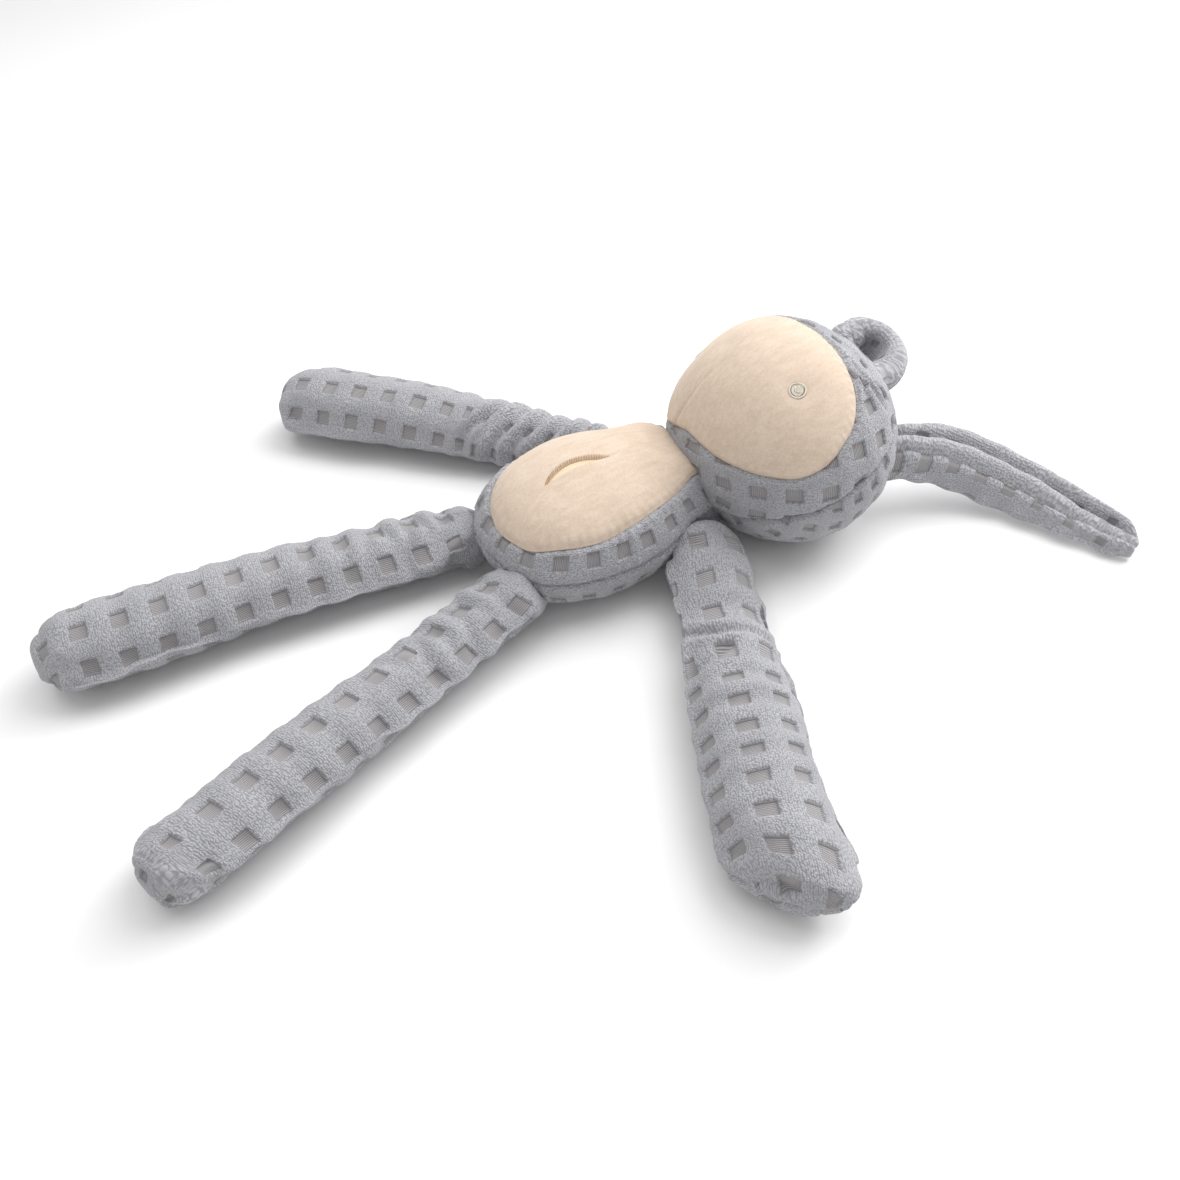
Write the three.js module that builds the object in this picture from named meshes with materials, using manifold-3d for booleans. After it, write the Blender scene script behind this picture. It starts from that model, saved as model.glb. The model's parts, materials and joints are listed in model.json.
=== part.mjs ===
// A stuffed bunny rabbit with long limbs, lying on its back: a torso with a velour tummy
// patch and a slit pocket, a round head with a velour face patch, four long stuffed limbs
// that lie spread on the floor, one ear laid out and one ear curled behind the crown.
// Millimetres. +Y runs from the feet to the head, +X is the bunny's left, +Z is up.
// The origin is under the middle of the whole toy, on the floor that it lies on.

import * as THREE from 'three';
import { mergeVertices } from 'three/addons/utils/BufferGeometryUtils.js';
import Module from 'manifold-3d';

const wasm = await Module();
wasm.setup();

// Driving dimensions

const FABRIC = 2.0;        // thickness of terry or velour with its backing
const GAP = 0.35;          // clearance between touching pieces
const SEAM = 0.4;          // clearance between two panels sewn edge to edge

const ORIGIN_TO_TORSO = new THREE.Vector3(-12.65, 5.05, 0);

const TORSO = {
  halfWidth: 46.5,
  halfHeight: 32.5,
  centreX: 1,
  centreZ: 29.5,
  footY: -49,
  neckY: 46,
  neckRadius: 31,
};
const TUMMY = { centreX: 5, halfWidth: 35, footY: -44, wideY: -6, neckHalfWidth: 17 };
const POCKET = { length: 33, width: 8, centreX: 1, centreY: 0, depth: 9, lining: 1.0 };

const HEAD = {
  centre: new THREE.Vector3(20.5, 104, 50.5),
  radii: new THREE.Vector3(60.5, 53.5, 53),
  roll: THREE.MathUtils.degToRad(-11),
};
const FACE = { tilt: THREE.MathUtils.degToRad(22), halfWidth: 54, halfLength: 40, power: 2.5 };
const EYE = { radius: 4, thickness: 1.0, across: 35.5, along: 2 };

const LIMB_FLATNESS = 0.86;   // height of a limb's section over its width
const LIMB_SINK = 1.5;        // how deep the underside is pressed flat by the floor
const LEG = { rootRadius: 16, tipRadius: 19.5, upperLength: 78, lowerLength: 118 };
const ARM = { rootRadius: 16, tipRadius: 21.5, upperLength: 64, lowerLength: 123 };
const EAR = { length: 127, halfWidth: 19, flatness: 0.5, layer: 1.6, halfSplit: 0.6 };

// direction is the way the limb points from the body, in degrees from +X
const LIMBS = [
  { name: 'left_leg', size: LEG, start: [24.5, -52], degrees: -74.3 },
  { name: 'right_leg', size: LEG, start: [-29, -52], degrees: -97 },
  { name: 'left_arm', size: ARM, start: [46, 42.8], degrees: -25 },
  { name: 'right_arm', size: ARM, start: [-47, 41], degrees: -138.6 },
];

const LEFT_EAR_ROUTE = [
  [52, 157, 37], [62, 185, 29], [86, 207, 18], [116, 218, 11], [148, 229, 9],
];
const RIGHT_EAR_ROUTE = [
  [-9, 158, 47], [-11, 168, 60], [-10, 182, 62], [-8, 193, 52],
  [-6, 196, 36], [-4, 188, 22], [-2, 174, 16], [0, 160, 16],
];

// Materials: one of its own for each piece

function terry() {
  return new THREE.MeshStandardMaterial({ color: 0x8a8b8f, roughness: 0.95, metalness: 0 });
}

function velour() {
  return new THREE.MeshStandardMaterial({ color: 0xe3c49c, roughness: 0.85, metalness: 0 });
}

function lining() {
  return new THREE.MeshStandardMaterial({ color: 0xd9b987, roughness: 0.9, metalness: 0 });
}

function embroidery() {
  return new THREE.MeshStandardMaterial({ color: 0xcdbba0, roughness: 0.5, metalness: 0 });
}

function fibrefill() {
  return new THREE.MeshStandardMaterial({ color: 0xf1f1ee, roughness: 1, metalness: 0 });
}

// Solids

// Turns a three.js geometry into a solid that can be joined and cut.
function solidOf(geometry) {
  const bare = geometry.clone();
  bare.deleteAttribute('normal');
  bare.deleteAttribute('uv');
  const merged = mergeVertices(bare, 1e-4);
  const index = merged.getIndex().array;
  const kept = [];
  for (let i = 0; i < index.length; i += 3) {
    const [a, b, c] = [index[i], index[i + 1], index[i + 2]];
    if (a !== b && b !== c && c !== a) {
      kept.push(a, b, c);
    }
  }
  const mesh = new wasm.Mesh({
    numProp: 3,
    vertProperties: new Float32Array(merged.getAttribute('position').array),
    triVerts: new Uint32Array(kept),
  });
  return new wasm.Manifold(mesh);
}

// Turns a solid back into a three.js geometry.
function geometryOf(solid) {
  const mesh = solid.getMesh();
  const geometry = new THREE.BufferGeometry();
  geometry.setAttribute('position', new THREE.BufferAttribute(mesh.vertProperties, 3));
  geometry.setIndex(new THREE.BufferAttribute(mesh.triVerts, 1));
  geometry.computeVertexNormals();
  return geometry;
}

// A block far wider than the toy, between two heights.
function slab(bottom, top) {
  const block = new THREE.BoxGeometry(600, 600, top - bottom);
  block.translate(0, 0, (bottom + top) / 2);
  return solidOf(block);
}

// The part of a solid that lies over a height, and the part under it.
function above(solid, height) {
  return solid.intersect(slab(height, height + 400));
}

function below(solid, height) {
  return solid.intersect(slab(height - 400, height));
}

// A turned body along +Y with a flattened section; inset shrinks it all round.
function turnedBody(profile, segments, flatness, inset) {
  const widest = Math.max(...profile.map((point) => point.x));
  const lathe = new THREE.LatheGeometry(profile, segments);
  lathe.rotateY(Math.PI / segments);
  lathe.scale(1, 1, (flatness * (widest + inset) - inset) / widest);
  return lathe;
}

// The outline of a limb segment from its first round end to its second, as a turned profile.
function segmentProfile(length, startRadius, endRadius, inset) {
  const start = startRadius - inset;
  const end = endRadius - inset;
  const steps = 3;
  const profile = [];
  for (let i = 0; i <= steps; i += 1) {
    const angle = (i / steps) * (Math.PI / 2);
    const reach = startRadius - start * Math.cos(angle);
    profile.push(new THREE.Vector2(start * Math.sin(angle), reach));
  }
  for (let i = 0; i <= steps; i += 1) {
    const angle = (i / steps) * (Math.PI / 2);
    const reach = length - endRadius + end * Math.sin(angle);
    profile.push(new THREE.Vector2(end * Math.cos(angle), reach));
  }
  profile[0].x = 0;
  profile[profile.length - 1].x = 0;
  return profile;
}

// Two sewn panels and their filling. makeBody(inset) gives the body shrunk by an inset.
function stuffedBody(makeBody, thickness, floor, seamHeight) {
  const outer = above(makeBody(0), floor);
  const inner = above(makeBody(thickness), floor + thickness);
  const filling = above(makeBody(thickness + GAP), floor + thickness + GAP);
  const shell = outer.subtract(inner);
  return {
    front: above(shell, seamHeight + SEAM / 2),
    back: below(shell, seamHeight - SEAM / 2),
    filling,
  };
}

// Scene graph

const toy = new THREE.Group();
const body = new THREE.Group();
body.position.copy(ORIGIN_TO_TORSO);
toy.add(body);

function addPiece(parent, name, solid, material) {
  const mesh = new THREE.Mesh(geometryOf(solid), material);
  mesh.name = name;
  parent.add(mesh);
}

// Torso

function torsoProfile(inset) {
  const length = TORSO.neckY - TORSO.footY - 2 * inset;
  const outline = new THREE.SplineCurve([
    new THREE.Vector2(0, 0),
    new THREE.Vector2(TORSO.halfWidth * 0.62, length * 0.06),
    new THREE.Vector2(TORSO.halfWidth * 0.93, length * 0.24),
    new THREE.Vector2(TORSO.halfWidth, length * 0.48),
    new THREE.Vector2(TORSO.halfWidth * 0.9, length * 0.75),
    new THREE.Vector2(TORSO.neckRadius * 1.2, length * 0.94),
    new THREE.Vector2(TORSO.neckRadius, length),
  ]).getPoints(9);
  outline[0].x = 0;
  const profile = outline.map((point) => new THREE.Vector2(
    Math.max(point.x * (1 - inset / TORSO.halfWidth), 0),
    TORSO.footY + inset + point.y,
  ));
  profile.push(new THREE.Vector2(0, TORSO.neckY - inset));
  return profile;
}

function torsoBody(inset) {
  const flatness = TORSO.halfHeight / TORSO.halfWidth;
  const lathe = turnedBody(torsoProfile(inset), 18, flatness, inset);
  lathe.translate(TORSO.centreX, 0, TORSO.centreZ);
  return solidOf(lathe);
}

// A vertical prism over the egg-shaped outline of the tummy patch.
function tummyPrism(margin) {
  const half = TUMMY.halfWidth - margin;
  const foot = TUMMY.footY + margin;
  const neck = TUMMY.neckHalfWidth - margin;
  const outline = new THREE.Shape();
  outline.moveTo(-neck, TORSO.neckY + 20);
  outline.bezierCurveTo(-neck - 6, 30, -half, 20, -half, TUMMY.wideY);
  outline.bezierCurveTo(-half, foot + 14, -half * 0.55, foot, 0, foot);
  outline.bezierCurveTo(half * 0.55, foot, half, foot + 14, half, TUMMY.wideY);
  outline.bezierCurveTo(half, 20, neck + 6, 30, neck, TORSO.neckY + 20);
  const prism = new THREE.ExtrudeGeometry(outline, {
    depth: 100,
    bevelEnabled: false,
    curveSegments: 6,
  });
  prism.translate(TUMMY.centreX, 0, TORSO.centreZ + 4);
  return solidOf(prism);
}

// A vertical prism over the pocket slit's lens outline, arched towards the bunny's right.
function slitPrism(margin, bottom, top) {
  const halfLength = POCKET.length / 2 + margin;
  const halfWidth = POCKET.width / 2 + margin;
  const lens = new THREE.Shape();
  lens.moveTo(0, -halfLength);
  const leftPull = halfWidth * 1.3;
  const rightPull = -halfWidth * 1.4;
  const shoulder = halfLength * 0.4;
  lens.bezierCurveTo(leftPull, -shoulder, leftPull, shoulder, 0, halfLength);
  lens.bezierCurveTo(rightPull, shoulder, rightPull, -shoulder, 0, -halfLength);
  const prism = new THREE.ExtrudeGeometry(lens, {
    depth: top - bottom,
    bevelEnabled: false,
    curveSegments: 5,
  });
  prism.translate(POCKET.centreX, POCKET.centreY, bottom);
  return solidOf(prism);
}

function addTorso() {
  const pieces = stuffedBody(torsoBody, FABRIC, 0, TORSO.centreZ);
  const crown = TORSO.centreZ + TORSO.halfHeight;
  const pocketFloor = crown - FABRIC - POCKET.depth;
  const slit = slitPrism(0, crown - 20, crown + 20);
  const pocketInside = slitPrism(0.4, pocketFloor + POCKET.lining, crown + 20);
  const pocketOutside = slitPrism(0.4 + POCKET.lining, pocketFloor, crown + 20);
  const pocketSpace = slitPrism(0.4 + POCKET.lining + GAP, pocketFloor - GAP, crown + 20);
  const underPatch = torsoBody(FABRIC + GAP);
  const pouch = pocketOutside.subtract(pocketInside).intersect(underPatch);

  addPiece(body, 'torso_back_panel', pieces.back, terry());
  addPiece(body, 'torso_front_panel', pieces.front.subtract(tummyPrism(-SEAM / 2)), terry());
  addPiece(
    body,
    'tummy_patch',
    pieces.front.intersect(tummyPrism(SEAM / 2)).subtract(slit),
    velour(),
  );
  addPiece(body, 'tummy_pocket_lining', pouch, lining());
  addPiece(body, 'torso_stuffing', pieces.filling.subtract(pocketSpace), fibrefill());
}

// Head

function headBody(inset) {
  const ball = new THREE.SphereGeometry(1, 18, 10);
  ball.rotateX(Math.PI / 2);
  ball.scale(HEAD.radii.x - inset, HEAD.radii.y - inset, HEAD.radii.z - inset);
  ball.translate(HEAD.centre.x, HEAD.centre.y, HEAD.centre.z);
  return solidOf(ball);
}

// A prism through the face's rounded outline, looking along the face's own direction.
function facePrism(margin) {
  const outline = [];
  const corners = 24;
  for (let i = 0; i < corners; i += 1) {
    const angle = (i / corners) * 2 * Math.PI;
    const x = Math.sign(Math.cos(angle)) * Math.abs(Math.cos(angle)) ** (2 / FACE.power);
    const y = Math.sign(Math.sin(angle)) * Math.abs(Math.sin(angle)) ** (2 / FACE.power);
    const halfWidth = FACE.halfWidth - margin;
    const halfLength = FACE.halfLength - margin;
    outline.push(new THREE.Vector2(x * halfWidth, y * halfLength));
  }
  const prism = new THREE.ExtrudeGeometry(new THREE.Shape(outline), {
    depth: 120,
    bevelEnabled: false,
  });
  return solidOf(turnedToFace(prism));
}

// Turns and moves a geometry from the face's own frame into the torso's frame.
function turnedToFace(geometry) {
  geometry.rotateX(FACE.tilt);
  geometry.rotateY(HEAD.roll);
  geometry.translate(HEAD.centre.x, HEAD.centre.y, HEAD.centre.z);
  return geometry;
}

function eyePatch(side) {
  const disc = new THREE.CylinderGeometry(EYE.radius, EYE.radius, 100, 12);
  disc.rotateX(Math.PI / 2);
  disc.translate(side * EYE.across, EYE.along, 50);
  const skin = headBody(-GAP - EYE.thickness).subtract(headBody(-GAP));
  return skin.intersect(solidOf(turnedToFace(disc)));
}

function addHead() {
  const pieces = stuffedBody(headBody, FABRIC, 0, HEAD.centre.z - 6);
  addPiece(body, 'face_patch', pieces.front.intersect(facePrism(SEAM / 2)), velour());
  addPiece(body, 'head_front_panel', pieces.front.subtract(facePrism(-SEAM / 2)), terry());
  addPiece(body, 'head_back_panel', pieces.back, terry());
  addPiece(body, 'head_stuffing', pieces.filling, fibrefill());
  addPiece(body, 'left_eye_embroidery', eyePatch(1), embroidery());
  addPiece(body, 'right_eye_embroidery', eyePatch(-1), embroidery());
}

// Limbs

// Both panels and the filling of one stretch of a limb, lying along +Y from its own start.
function addSegment(parent, name, length, startRadius, endRadius, centreZ) {
  const makeBody = (inset) => {
    const profile = segmentProfile(length, startRadius, endRadius, inset);
    const lathe = turnedBody(profile, 12, LIMB_FLATNESS, inset);
    lathe.translate(0, 0, centreZ);
    return solidOf(lathe);
  };
  const pieces = stuffedBody(makeBody, FABRIC, 0, centreZ);
  addPiece(parent, `${name}_front_panel`, pieces.front, terry());
  addPiece(parent, `${name}_back_panel`, pieces.back, terry());
  addPiece(parent, `${name}_stuffing`, pieces.filling, fibrefill());
}

function addLimb({ name, size, start, degrees }) {
  const bendRadius = THREE.MathUtils.lerp(size.rootRadius, size.tipRadius, 0.4);
  const centreZ = LIMB_FLATNESS * size.tipRadius - LIMB_SINK;
  const limb = new THREE.Group();
  limb.position.set(start[0], start[1], 0);
  limb.rotation.z = THREE.MathUtils.degToRad(degrees - 90);
  body.add(limb);
  const lower = new THREE.Group();
  lower.position.y = size.upperLength + 2 * GAP;
  limb.add(lower);
  addSegment(limb, `${name}_upper`, size.upperLength, size.rootRadius, bendRadius, centreZ);
  addSegment(lower, `${name}_lower`, size.lowerLength, bendRadius, size.tipRadius, centreZ);
}

// Ears

// The ear flat and straight: narrow at the root, widest before the middle, round at the tip.
function earProfile(inset) {
  const half = EAR.halfWidth - inset;
  const length = EAR.length - 2 * inset;
  const outline = new THREE.SplineCurve([
    new THREE.Vector2(half * 0.3, 0),
    new THREE.Vector2(half * 0.85, length * 0.2),
    new THREE.Vector2(half, length * 0.45),
    new THREE.Vector2(half * 0.85, length * 0.8),
    new THREE.Vector2(half * 0.45, length * 0.98),
    new THREE.Vector2(0, length),
  ]).getPoints(8);
  const profile = outline.map((point) => (
    new THREE.Vector2(Math.max(point.x, 0), inset + point.y)
  ));
  profile.unshift(new THREE.Vector2(0, inset));
  profile[profile.length - 1].x = 0;
  return profile;
}

// Lays a straight geometry along a route, keeping its width along the across direction.
function laidAlong(geometry, route, across) {
  const position = geometry.getAttribute('position');
  const point = new THREE.Vector3();
  for (let i = 0; i < position.count; i += 1) {
    point.fromBufferAttribute(position, i);
    const t = THREE.MathUtils.clamp(point.y / EAR.length, 0, 1);
    const along = route.getTangentAt(t);
    const up = new THREE.Vector3().crossVectors(across, along).normalize();
    const side = new THREE.Vector3().crossVectors(along, up);
    const place = route.getPointAt(t);
    place.addScaledVector(side, point.x).addScaledVector(up, point.z);
    position.setXYZ(i, place.x, place.y, place.z);
  }
  return geometry;
}

// An ear is two layers sewn round their edge. Each is a shallow dish with its hollow inside.
function addEar(name, points, across) {
  const route = new THREE.CatmullRomCurve3(points.map((p) => new THREE.Vector3(...p)));
  const straight = (inset) => solidOf(turnedBody(earProfile(inset), 10, EAR.flatness, inset));
  const shell = straight(0).subtract(straight(EAR.layer));
  const layers = {
    inner_layer: above(shell, EAR.halfSplit),
    outer_layer: below(shell, -EAR.halfSplit),
  };
  for (const [layer, solid] of Object.entries(layers)) {
    const laid = laidAlong(geometryOf(solid), route, across);
    addPiece(body, `${name}_${layer}`, above(solidOf(laid), 0.1), terry());
  }
}

addTorso();
addHead();
LIMBS.forEach(addLimb);
addEar('left_ear', LEFT_EAR_ROUTE, new THREE.Vector3(0.62, -0.78, 0));
addEar('right_ear', RIGHT_EAR_ROUTE, new THREE.Vector3(1, 0, 0));

export default toy;
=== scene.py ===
# A stuffed bunny with long limbs, lying on its back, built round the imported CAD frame.
# Lengths in this script are millimetres in the torso's own frame (origin under the torso's
# middle, +Y to the head, +X the bunny's left, +Z up) until a mesh is made, which is in metres.

import json
import math

import bpy
import numpy as np
from mathutils import Matrix, Vector


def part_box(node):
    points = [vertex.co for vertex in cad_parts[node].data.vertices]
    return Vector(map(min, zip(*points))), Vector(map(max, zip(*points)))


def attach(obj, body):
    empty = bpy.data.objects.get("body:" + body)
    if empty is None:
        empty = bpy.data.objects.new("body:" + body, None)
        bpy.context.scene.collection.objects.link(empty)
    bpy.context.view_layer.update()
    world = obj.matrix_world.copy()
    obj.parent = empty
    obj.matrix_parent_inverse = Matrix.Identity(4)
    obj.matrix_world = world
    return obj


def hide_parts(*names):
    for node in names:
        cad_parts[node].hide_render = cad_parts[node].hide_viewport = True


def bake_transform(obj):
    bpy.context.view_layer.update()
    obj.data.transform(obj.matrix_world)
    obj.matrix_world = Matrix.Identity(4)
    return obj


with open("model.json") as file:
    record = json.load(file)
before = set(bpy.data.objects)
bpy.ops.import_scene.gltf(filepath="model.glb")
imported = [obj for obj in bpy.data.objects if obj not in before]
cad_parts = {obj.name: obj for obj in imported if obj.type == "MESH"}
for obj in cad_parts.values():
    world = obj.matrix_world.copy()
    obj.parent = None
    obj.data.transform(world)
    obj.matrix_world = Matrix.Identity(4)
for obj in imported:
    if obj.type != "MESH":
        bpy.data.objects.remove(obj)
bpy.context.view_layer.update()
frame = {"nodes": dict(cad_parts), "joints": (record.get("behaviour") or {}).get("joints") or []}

MM = 0.001
PITCH = 17.0            # one repeat of the woven squares
SQUARE = 0.215          # half side of a square, in repeats
RECESS = 1.2            # how deep the flat-woven squares lie
STEP = 0.55             # spacing of a terry mesh
FLOOR_SOFTNESS = 1.2    # over this height cloth eases onto the floor
SQUARE_ROUNDING = 0.05  # corner radius of a square, in repeats
SQUARE_WALL = 0.06      # width of a square's wall, in repeats
STITCH_PITCH = 5.2      # from one pucker of a seam to the next

# The frame's joints and boxes give the places

joints = {joint["name"]: joint for joint in frame["joints"]}
NECK_IN_TORSO_FRAME = np.array([12.0, 74.0, 42.0])
ORIGIN = np.array(joints["neck_nod"]["pos_m"]) / MM - NECK_IN_TORSO_FRAME


def to_row(point):
    return (np.asarray(point, float) + ORIGIN) * MM


def joint_place(name):
    return np.array(joints[name]["pos_m"]) / MM - ORIGIN


def node_box(*names):
    corners = [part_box(name) for name in names]
    low = np.min([np.array(c[0]) for c in corners], 0) / MM - ORIGIN
    high = np.max([np.array(c[1]) for c in corners], 0) / MM - ORIGIN
    return low, high


def reach(names, start, direction):
    """How far the nodes go from start along direction."""
    found = []
    for name in names:
        co = np.array([v.co for v in frame["nodes"][name].data.vertices], float)
        found.append(((co / MM - ORIGIN - start) @ direction).max())
    return max(found)


# Numbers

def unit(v):
    v = np.asarray(v, float)
    return v / np.maximum(np.linalg.norm(v, axis=-1, keepdims=True), 1e-12)


def ease(x, a, b):
    t = np.clip((x - a) / (b - a), 0, 1)
    return t * t * (3 - 2 * t)


def bell(x, width):
    return np.exp(-((x / width) ** 2))


def full_turn(count):
    return np.linspace(0, 2 * np.pi, count, endpoint=False)


def path_length(points):
    """How far along a path each of its points lies."""
    return np.concatenate([[0], np.cumsum(np.linalg.norm(np.diff(points, axis=0), axis=1))])


def lattice(ix, iy, iz, seed):
    """A random number from -1 to 1 for each whole place."""
    mask = 0xFFFFFFFF
    h = (ix * 73856093) ^ (iy * 19349663) ^ (iz * 83492791) ^ (seed * 2654435761 & mask)
    h = h & mask
    h = ((h ^ (h >> 13)) * 1274126177) & mask
    h = ((h ^ (h >> 16)) * 2246822519) & mask
    return ((h ^ (h >> 15)) & mask) / mask * 2 - 1


def noise(points, scale, seed):
    """Smooth noise from -1 to 1 at points (..., 3), with features of about that scale."""
    p = np.asarray(points, float) / scale + 1000
    cell = np.floor(p).astype(np.int64)
    f = p - cell
    f = f * f * (3 - 2 * f)
    total = 0.0
    for dx in (0, 1):
        for dy in (0, 1):
            for dz in (0, 1):
                weight = (
                    (f[..., 0] if dx else 1 - f[..., 0])
                    * (f[..., 1] if dy else 1 - f[..., 1])
                    * (f[..., 2] if dz else 1 - f[..., 2])
                )
                corner = lattice(cell[..., 0] + dx, cell[..., 1] + dy, cell[..., 2] + dz, seed)
                total = total + weight * corner
    return total


def flat_noise(u, v, seed):
    return noise(np.stack([u, v, np.zeros_like(u)], -1), 1.0, seed)


def spline(points, count, closed=False):
    """Evenly spaced points on a smooth curve through the given ones."""
    p = np.asarray(points, float)
    if closed:
        q = np.concatenate([p[-1:], p, p[:2]])
    else:
        q = np.concatenate([2 * p[:1] - p[1:2], p, 2 * p[-1:] - p[-2:-1]])
    fine = []
    for i in range(len(q) - 3):
        a, b, c, d = q[i:i + 4]
        t = np.linspace(0, 1, 40, endpoint=False)[:, None]
        fine.append(
            0.5 * (2 * b + (c - a) * t + (2 * a - 5 * b + 4 * c - d) * t**2
                   + (3 * b - a - 3 * c + d) * t**3)
        )
    fine.append(q[-2:-1])
    fine = np.concatenate(fine)
    along = path_length(fine)
    where = np.linspace(0, along[-1], count, endpoint=not closed)
    return np.stack([np.interp(where, along, fine[:, k]) for k in range(fine.shape[1])], -1)


def through(x, pairs):
    """A smooth value at x through (x, value) pairs."""
    pairs = np.array(pairs, float)
    fine = spline(pairs, 200)
    return np.interp(x, fine[:, 0], fine[:, 1])


def add_object(name, data):
    thing = bpy.data.objects.new(name, data)
    bpy.context.scene.collection.objects.link(thing)
    return thing


# Cloth surfaces as grids of points, rows by columns

def grid_normals(points, wrap=False):
    along = np.gradient(points, axis=0)
    if wrap:
        across = np.roll(points, -1, 1) - np.roll(points, 1, 1)
    else:
        across = np.gradient(points, axis=1)
    return unit(np.cross(along, across))


def settle(points):
    """Presses what would be under the floor flat onto it."""
    out = points.copy()
    z = points[..., 2]
    out[..., 2] = 0.5 * (z + np.sqrt(z * z + FLOOR_SOFTNESS**2))
    return out


def square_mask(u, v, edge):
    """1 in the recessed squares and 0 on the terry, with walls that wide, in repeats."""
    du = np.abs(u - np.floor(u) - 0.5)
    dv = np.abs(v - np.floor(v) - 0.5)
    distance = np.maximum(du, dv)
    inner = SQUARE - SQUARE_ROUNDING
    corner = np.hypot(np.maximum(du - inner, 0), np.maximum(dv - inner, 0))
    distance = np.maximum(distance, inner + corner)
    return 1 - ease(distance, SQUARE - edge / 2, SQUARE + edge / 2)


def resized(cloth, amount):
    """Moves places on the cloth so that the squares come out smaller, or larger if below 0."""
    return cloth - amount * np.sin(2 * np.pi * cloth) / (2 * np.pi)


def terry_height(u, v, seed, puff=0.25, recess=RECESS):
    """The height of terry cloth over its base: squares, puffs between them and loops."""
    mask = square_mask(u, v, SQUARE_WALL)
    swell = puff * (np.cos(2 * np.pi * u) + 0.7 * np.cos(2 * np.pi * v))
    mm_u, mm_v = u * PITCH, v * PITCH
    loops = 0.13 * flat_noise(mm_u / 1.7, mm_v / 1.3, seed)
    loops = loops + 0.09 * flat_noise(mm_u / 0.9, mm_v / 0.8, seed + 1)
    return (1 - mask) * (loops + 0.25) - recess * mask + swell


def lumps(points, amount, seed):
    return amount * (
        0.62 * noise(points, 26, seed) + 0.28 * noise(points, 12, seed + 1)
        + 0.12 * noise(points, 6, seed + 2)
    )


def seam_dip(distance, along, depth=1.5, width=1.35, pucker=0.3):
    """The groove at a seam, with the small puckers its stitches pull."""
    dip = -depth * bell(distance, width)
    return dip + pucker * np.cos(2 * np.pi * along / STITCH_PITCH) * bell(distance - 2.2, 3.0)


def skirted(points, uv, normals, sides, depth=2.4):
    """Adds rows or columns that turn the named sides of a grid inwards, as a seam allowance."""
    places = {"first": np.s_[:1], "last": np.s_[-1:], "left": np.s_[:, :1], "right": np.s_[:, -1:]}
    for side in sides:
        edge = places[side]
        axis = 0 if side in ("first", "last") else 1
        half_in = points[edge] - normals[edge] * depth * 0.5
        all_in = points[edge] - normals[edge] * depth * 1.0
        before = side in ("first", "left")

        def joined(grid, near, far):
            return np.concatenate([far, near, grid] if before else [grid, near, far], axis)

        points = joined(points, half_in, all_in)
        uv = joined(uv, uv[edge], uv[edge])
        normals = joined(normals, normals[edge], normals[edge])
    return points, uv


def cloth_mesh(name, points, uv, material, wrap=False, pole_first=False, pole_last=False,
               flip=False):
    """A mesh object from a grid. A pole row becomes one point."""
    rows, cols = points.shape[:2]
    points[..., 2] = np.maximum(points[..., 2], 0.05)
    index = np.arange(rows * cols).reshape(rows, cols)
    if pole_first:
        points[0] = points[0].mean(0)
    if pole_last:
        points[-1] = points[-1].mean(0)
    right = np.roll(index, -1, 1) if wrap else index[:, 1:]
    left = index if wrap else index[:, :-1]
    a, b = left[:-1], right[:-1]
    c, d = right[1:], left[1:]
    quads = np.stack([a, b, c, d], -1)
    first = 1 if pole_first else 0
    last = quads.shape[0] - 1 if pole_last else quads.shape[0]
    middle = quads[first:last].reshape(-1, 4)
    triangles = []
    if pole_first:
        q = quads[0]
        triangles.append(np.stack([np.full(len(q), index[0, 0]), q[:, 2], q[:, 3]], -1))
    if pole_last:
        q = quads[-1]
        triangles.append(np.stack([q[:, 0], q[:, 1], np.full(len(q), index[-1, 0])], -1))
    triangles = np.concatenate(triangles) if triangles else np.zeros((0, 3), int)
    if flip:
        middle, triangles = middle[:, ::-1], triangles[:, ::-1]
    used = np.unique(np.concatenate([middle.ravel(), triangles.ravel()]))
    renumber = np.zeros(rows * cols, int)
    renumber[used] = np.arange(len(used))
    loops = np.concatenate([renumber[middle].ravel(), renumber[triangles].ravel()])
    totals = np.concatenate([np.full(len(middle), 4), np.full(len(triangles), 3)])
    place = to_row(points.reshape(-1, 3)[used])
    mesh = bpy.data.meshes.new(name)
    mesh.vertices.add(len(used))
    mesh.vertices.foreach_set("co", place.astype(np.float32).ravel())
    mesh.loops.add(len(loops))
    mesh.loops.foreach_set("vertex_index", loops.astype(np.int32))
    mesh.polygons.add(len(totals))
    starts = np.concatenate([[0], np.cumsum(totals)[:-1]])
    mesh.polygons.foreach_set("loop_start", starts.astype(np.int32))
    mesh.polygons.foreach_set("use_smooth", np.ones(len(totals), bool))
    mesh.update(calc_edges=True)
    layer = mesh.uv_layers.new(name="fabric")
    coordinates = uv.reshape(-1, 2)[used][loops]
    layer.data.foreach_set("uv", coordinates.astype(np.float32).ravel())
    mesh.validate()
    mesh.materials.append(material)
    return add_object(name, mesh)


# Cloth simulation on coarse grids

SIM_SCALE = 10.0        # the solver is steadier on a body ten times as large
SIM_FRAMES = 20
SIM_SETTINGS = dict(
    quality=8, mass=0.1, tension_stiffness=15, compression_stiffness=15, shear_stiffness=6,
    bending_stiffness=0.3, tension_damping=0.5, compression_damping=0.5, shear_damping=0.5,
    use_pressure=True, uniform_pressure_force=4.0,
)


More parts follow.
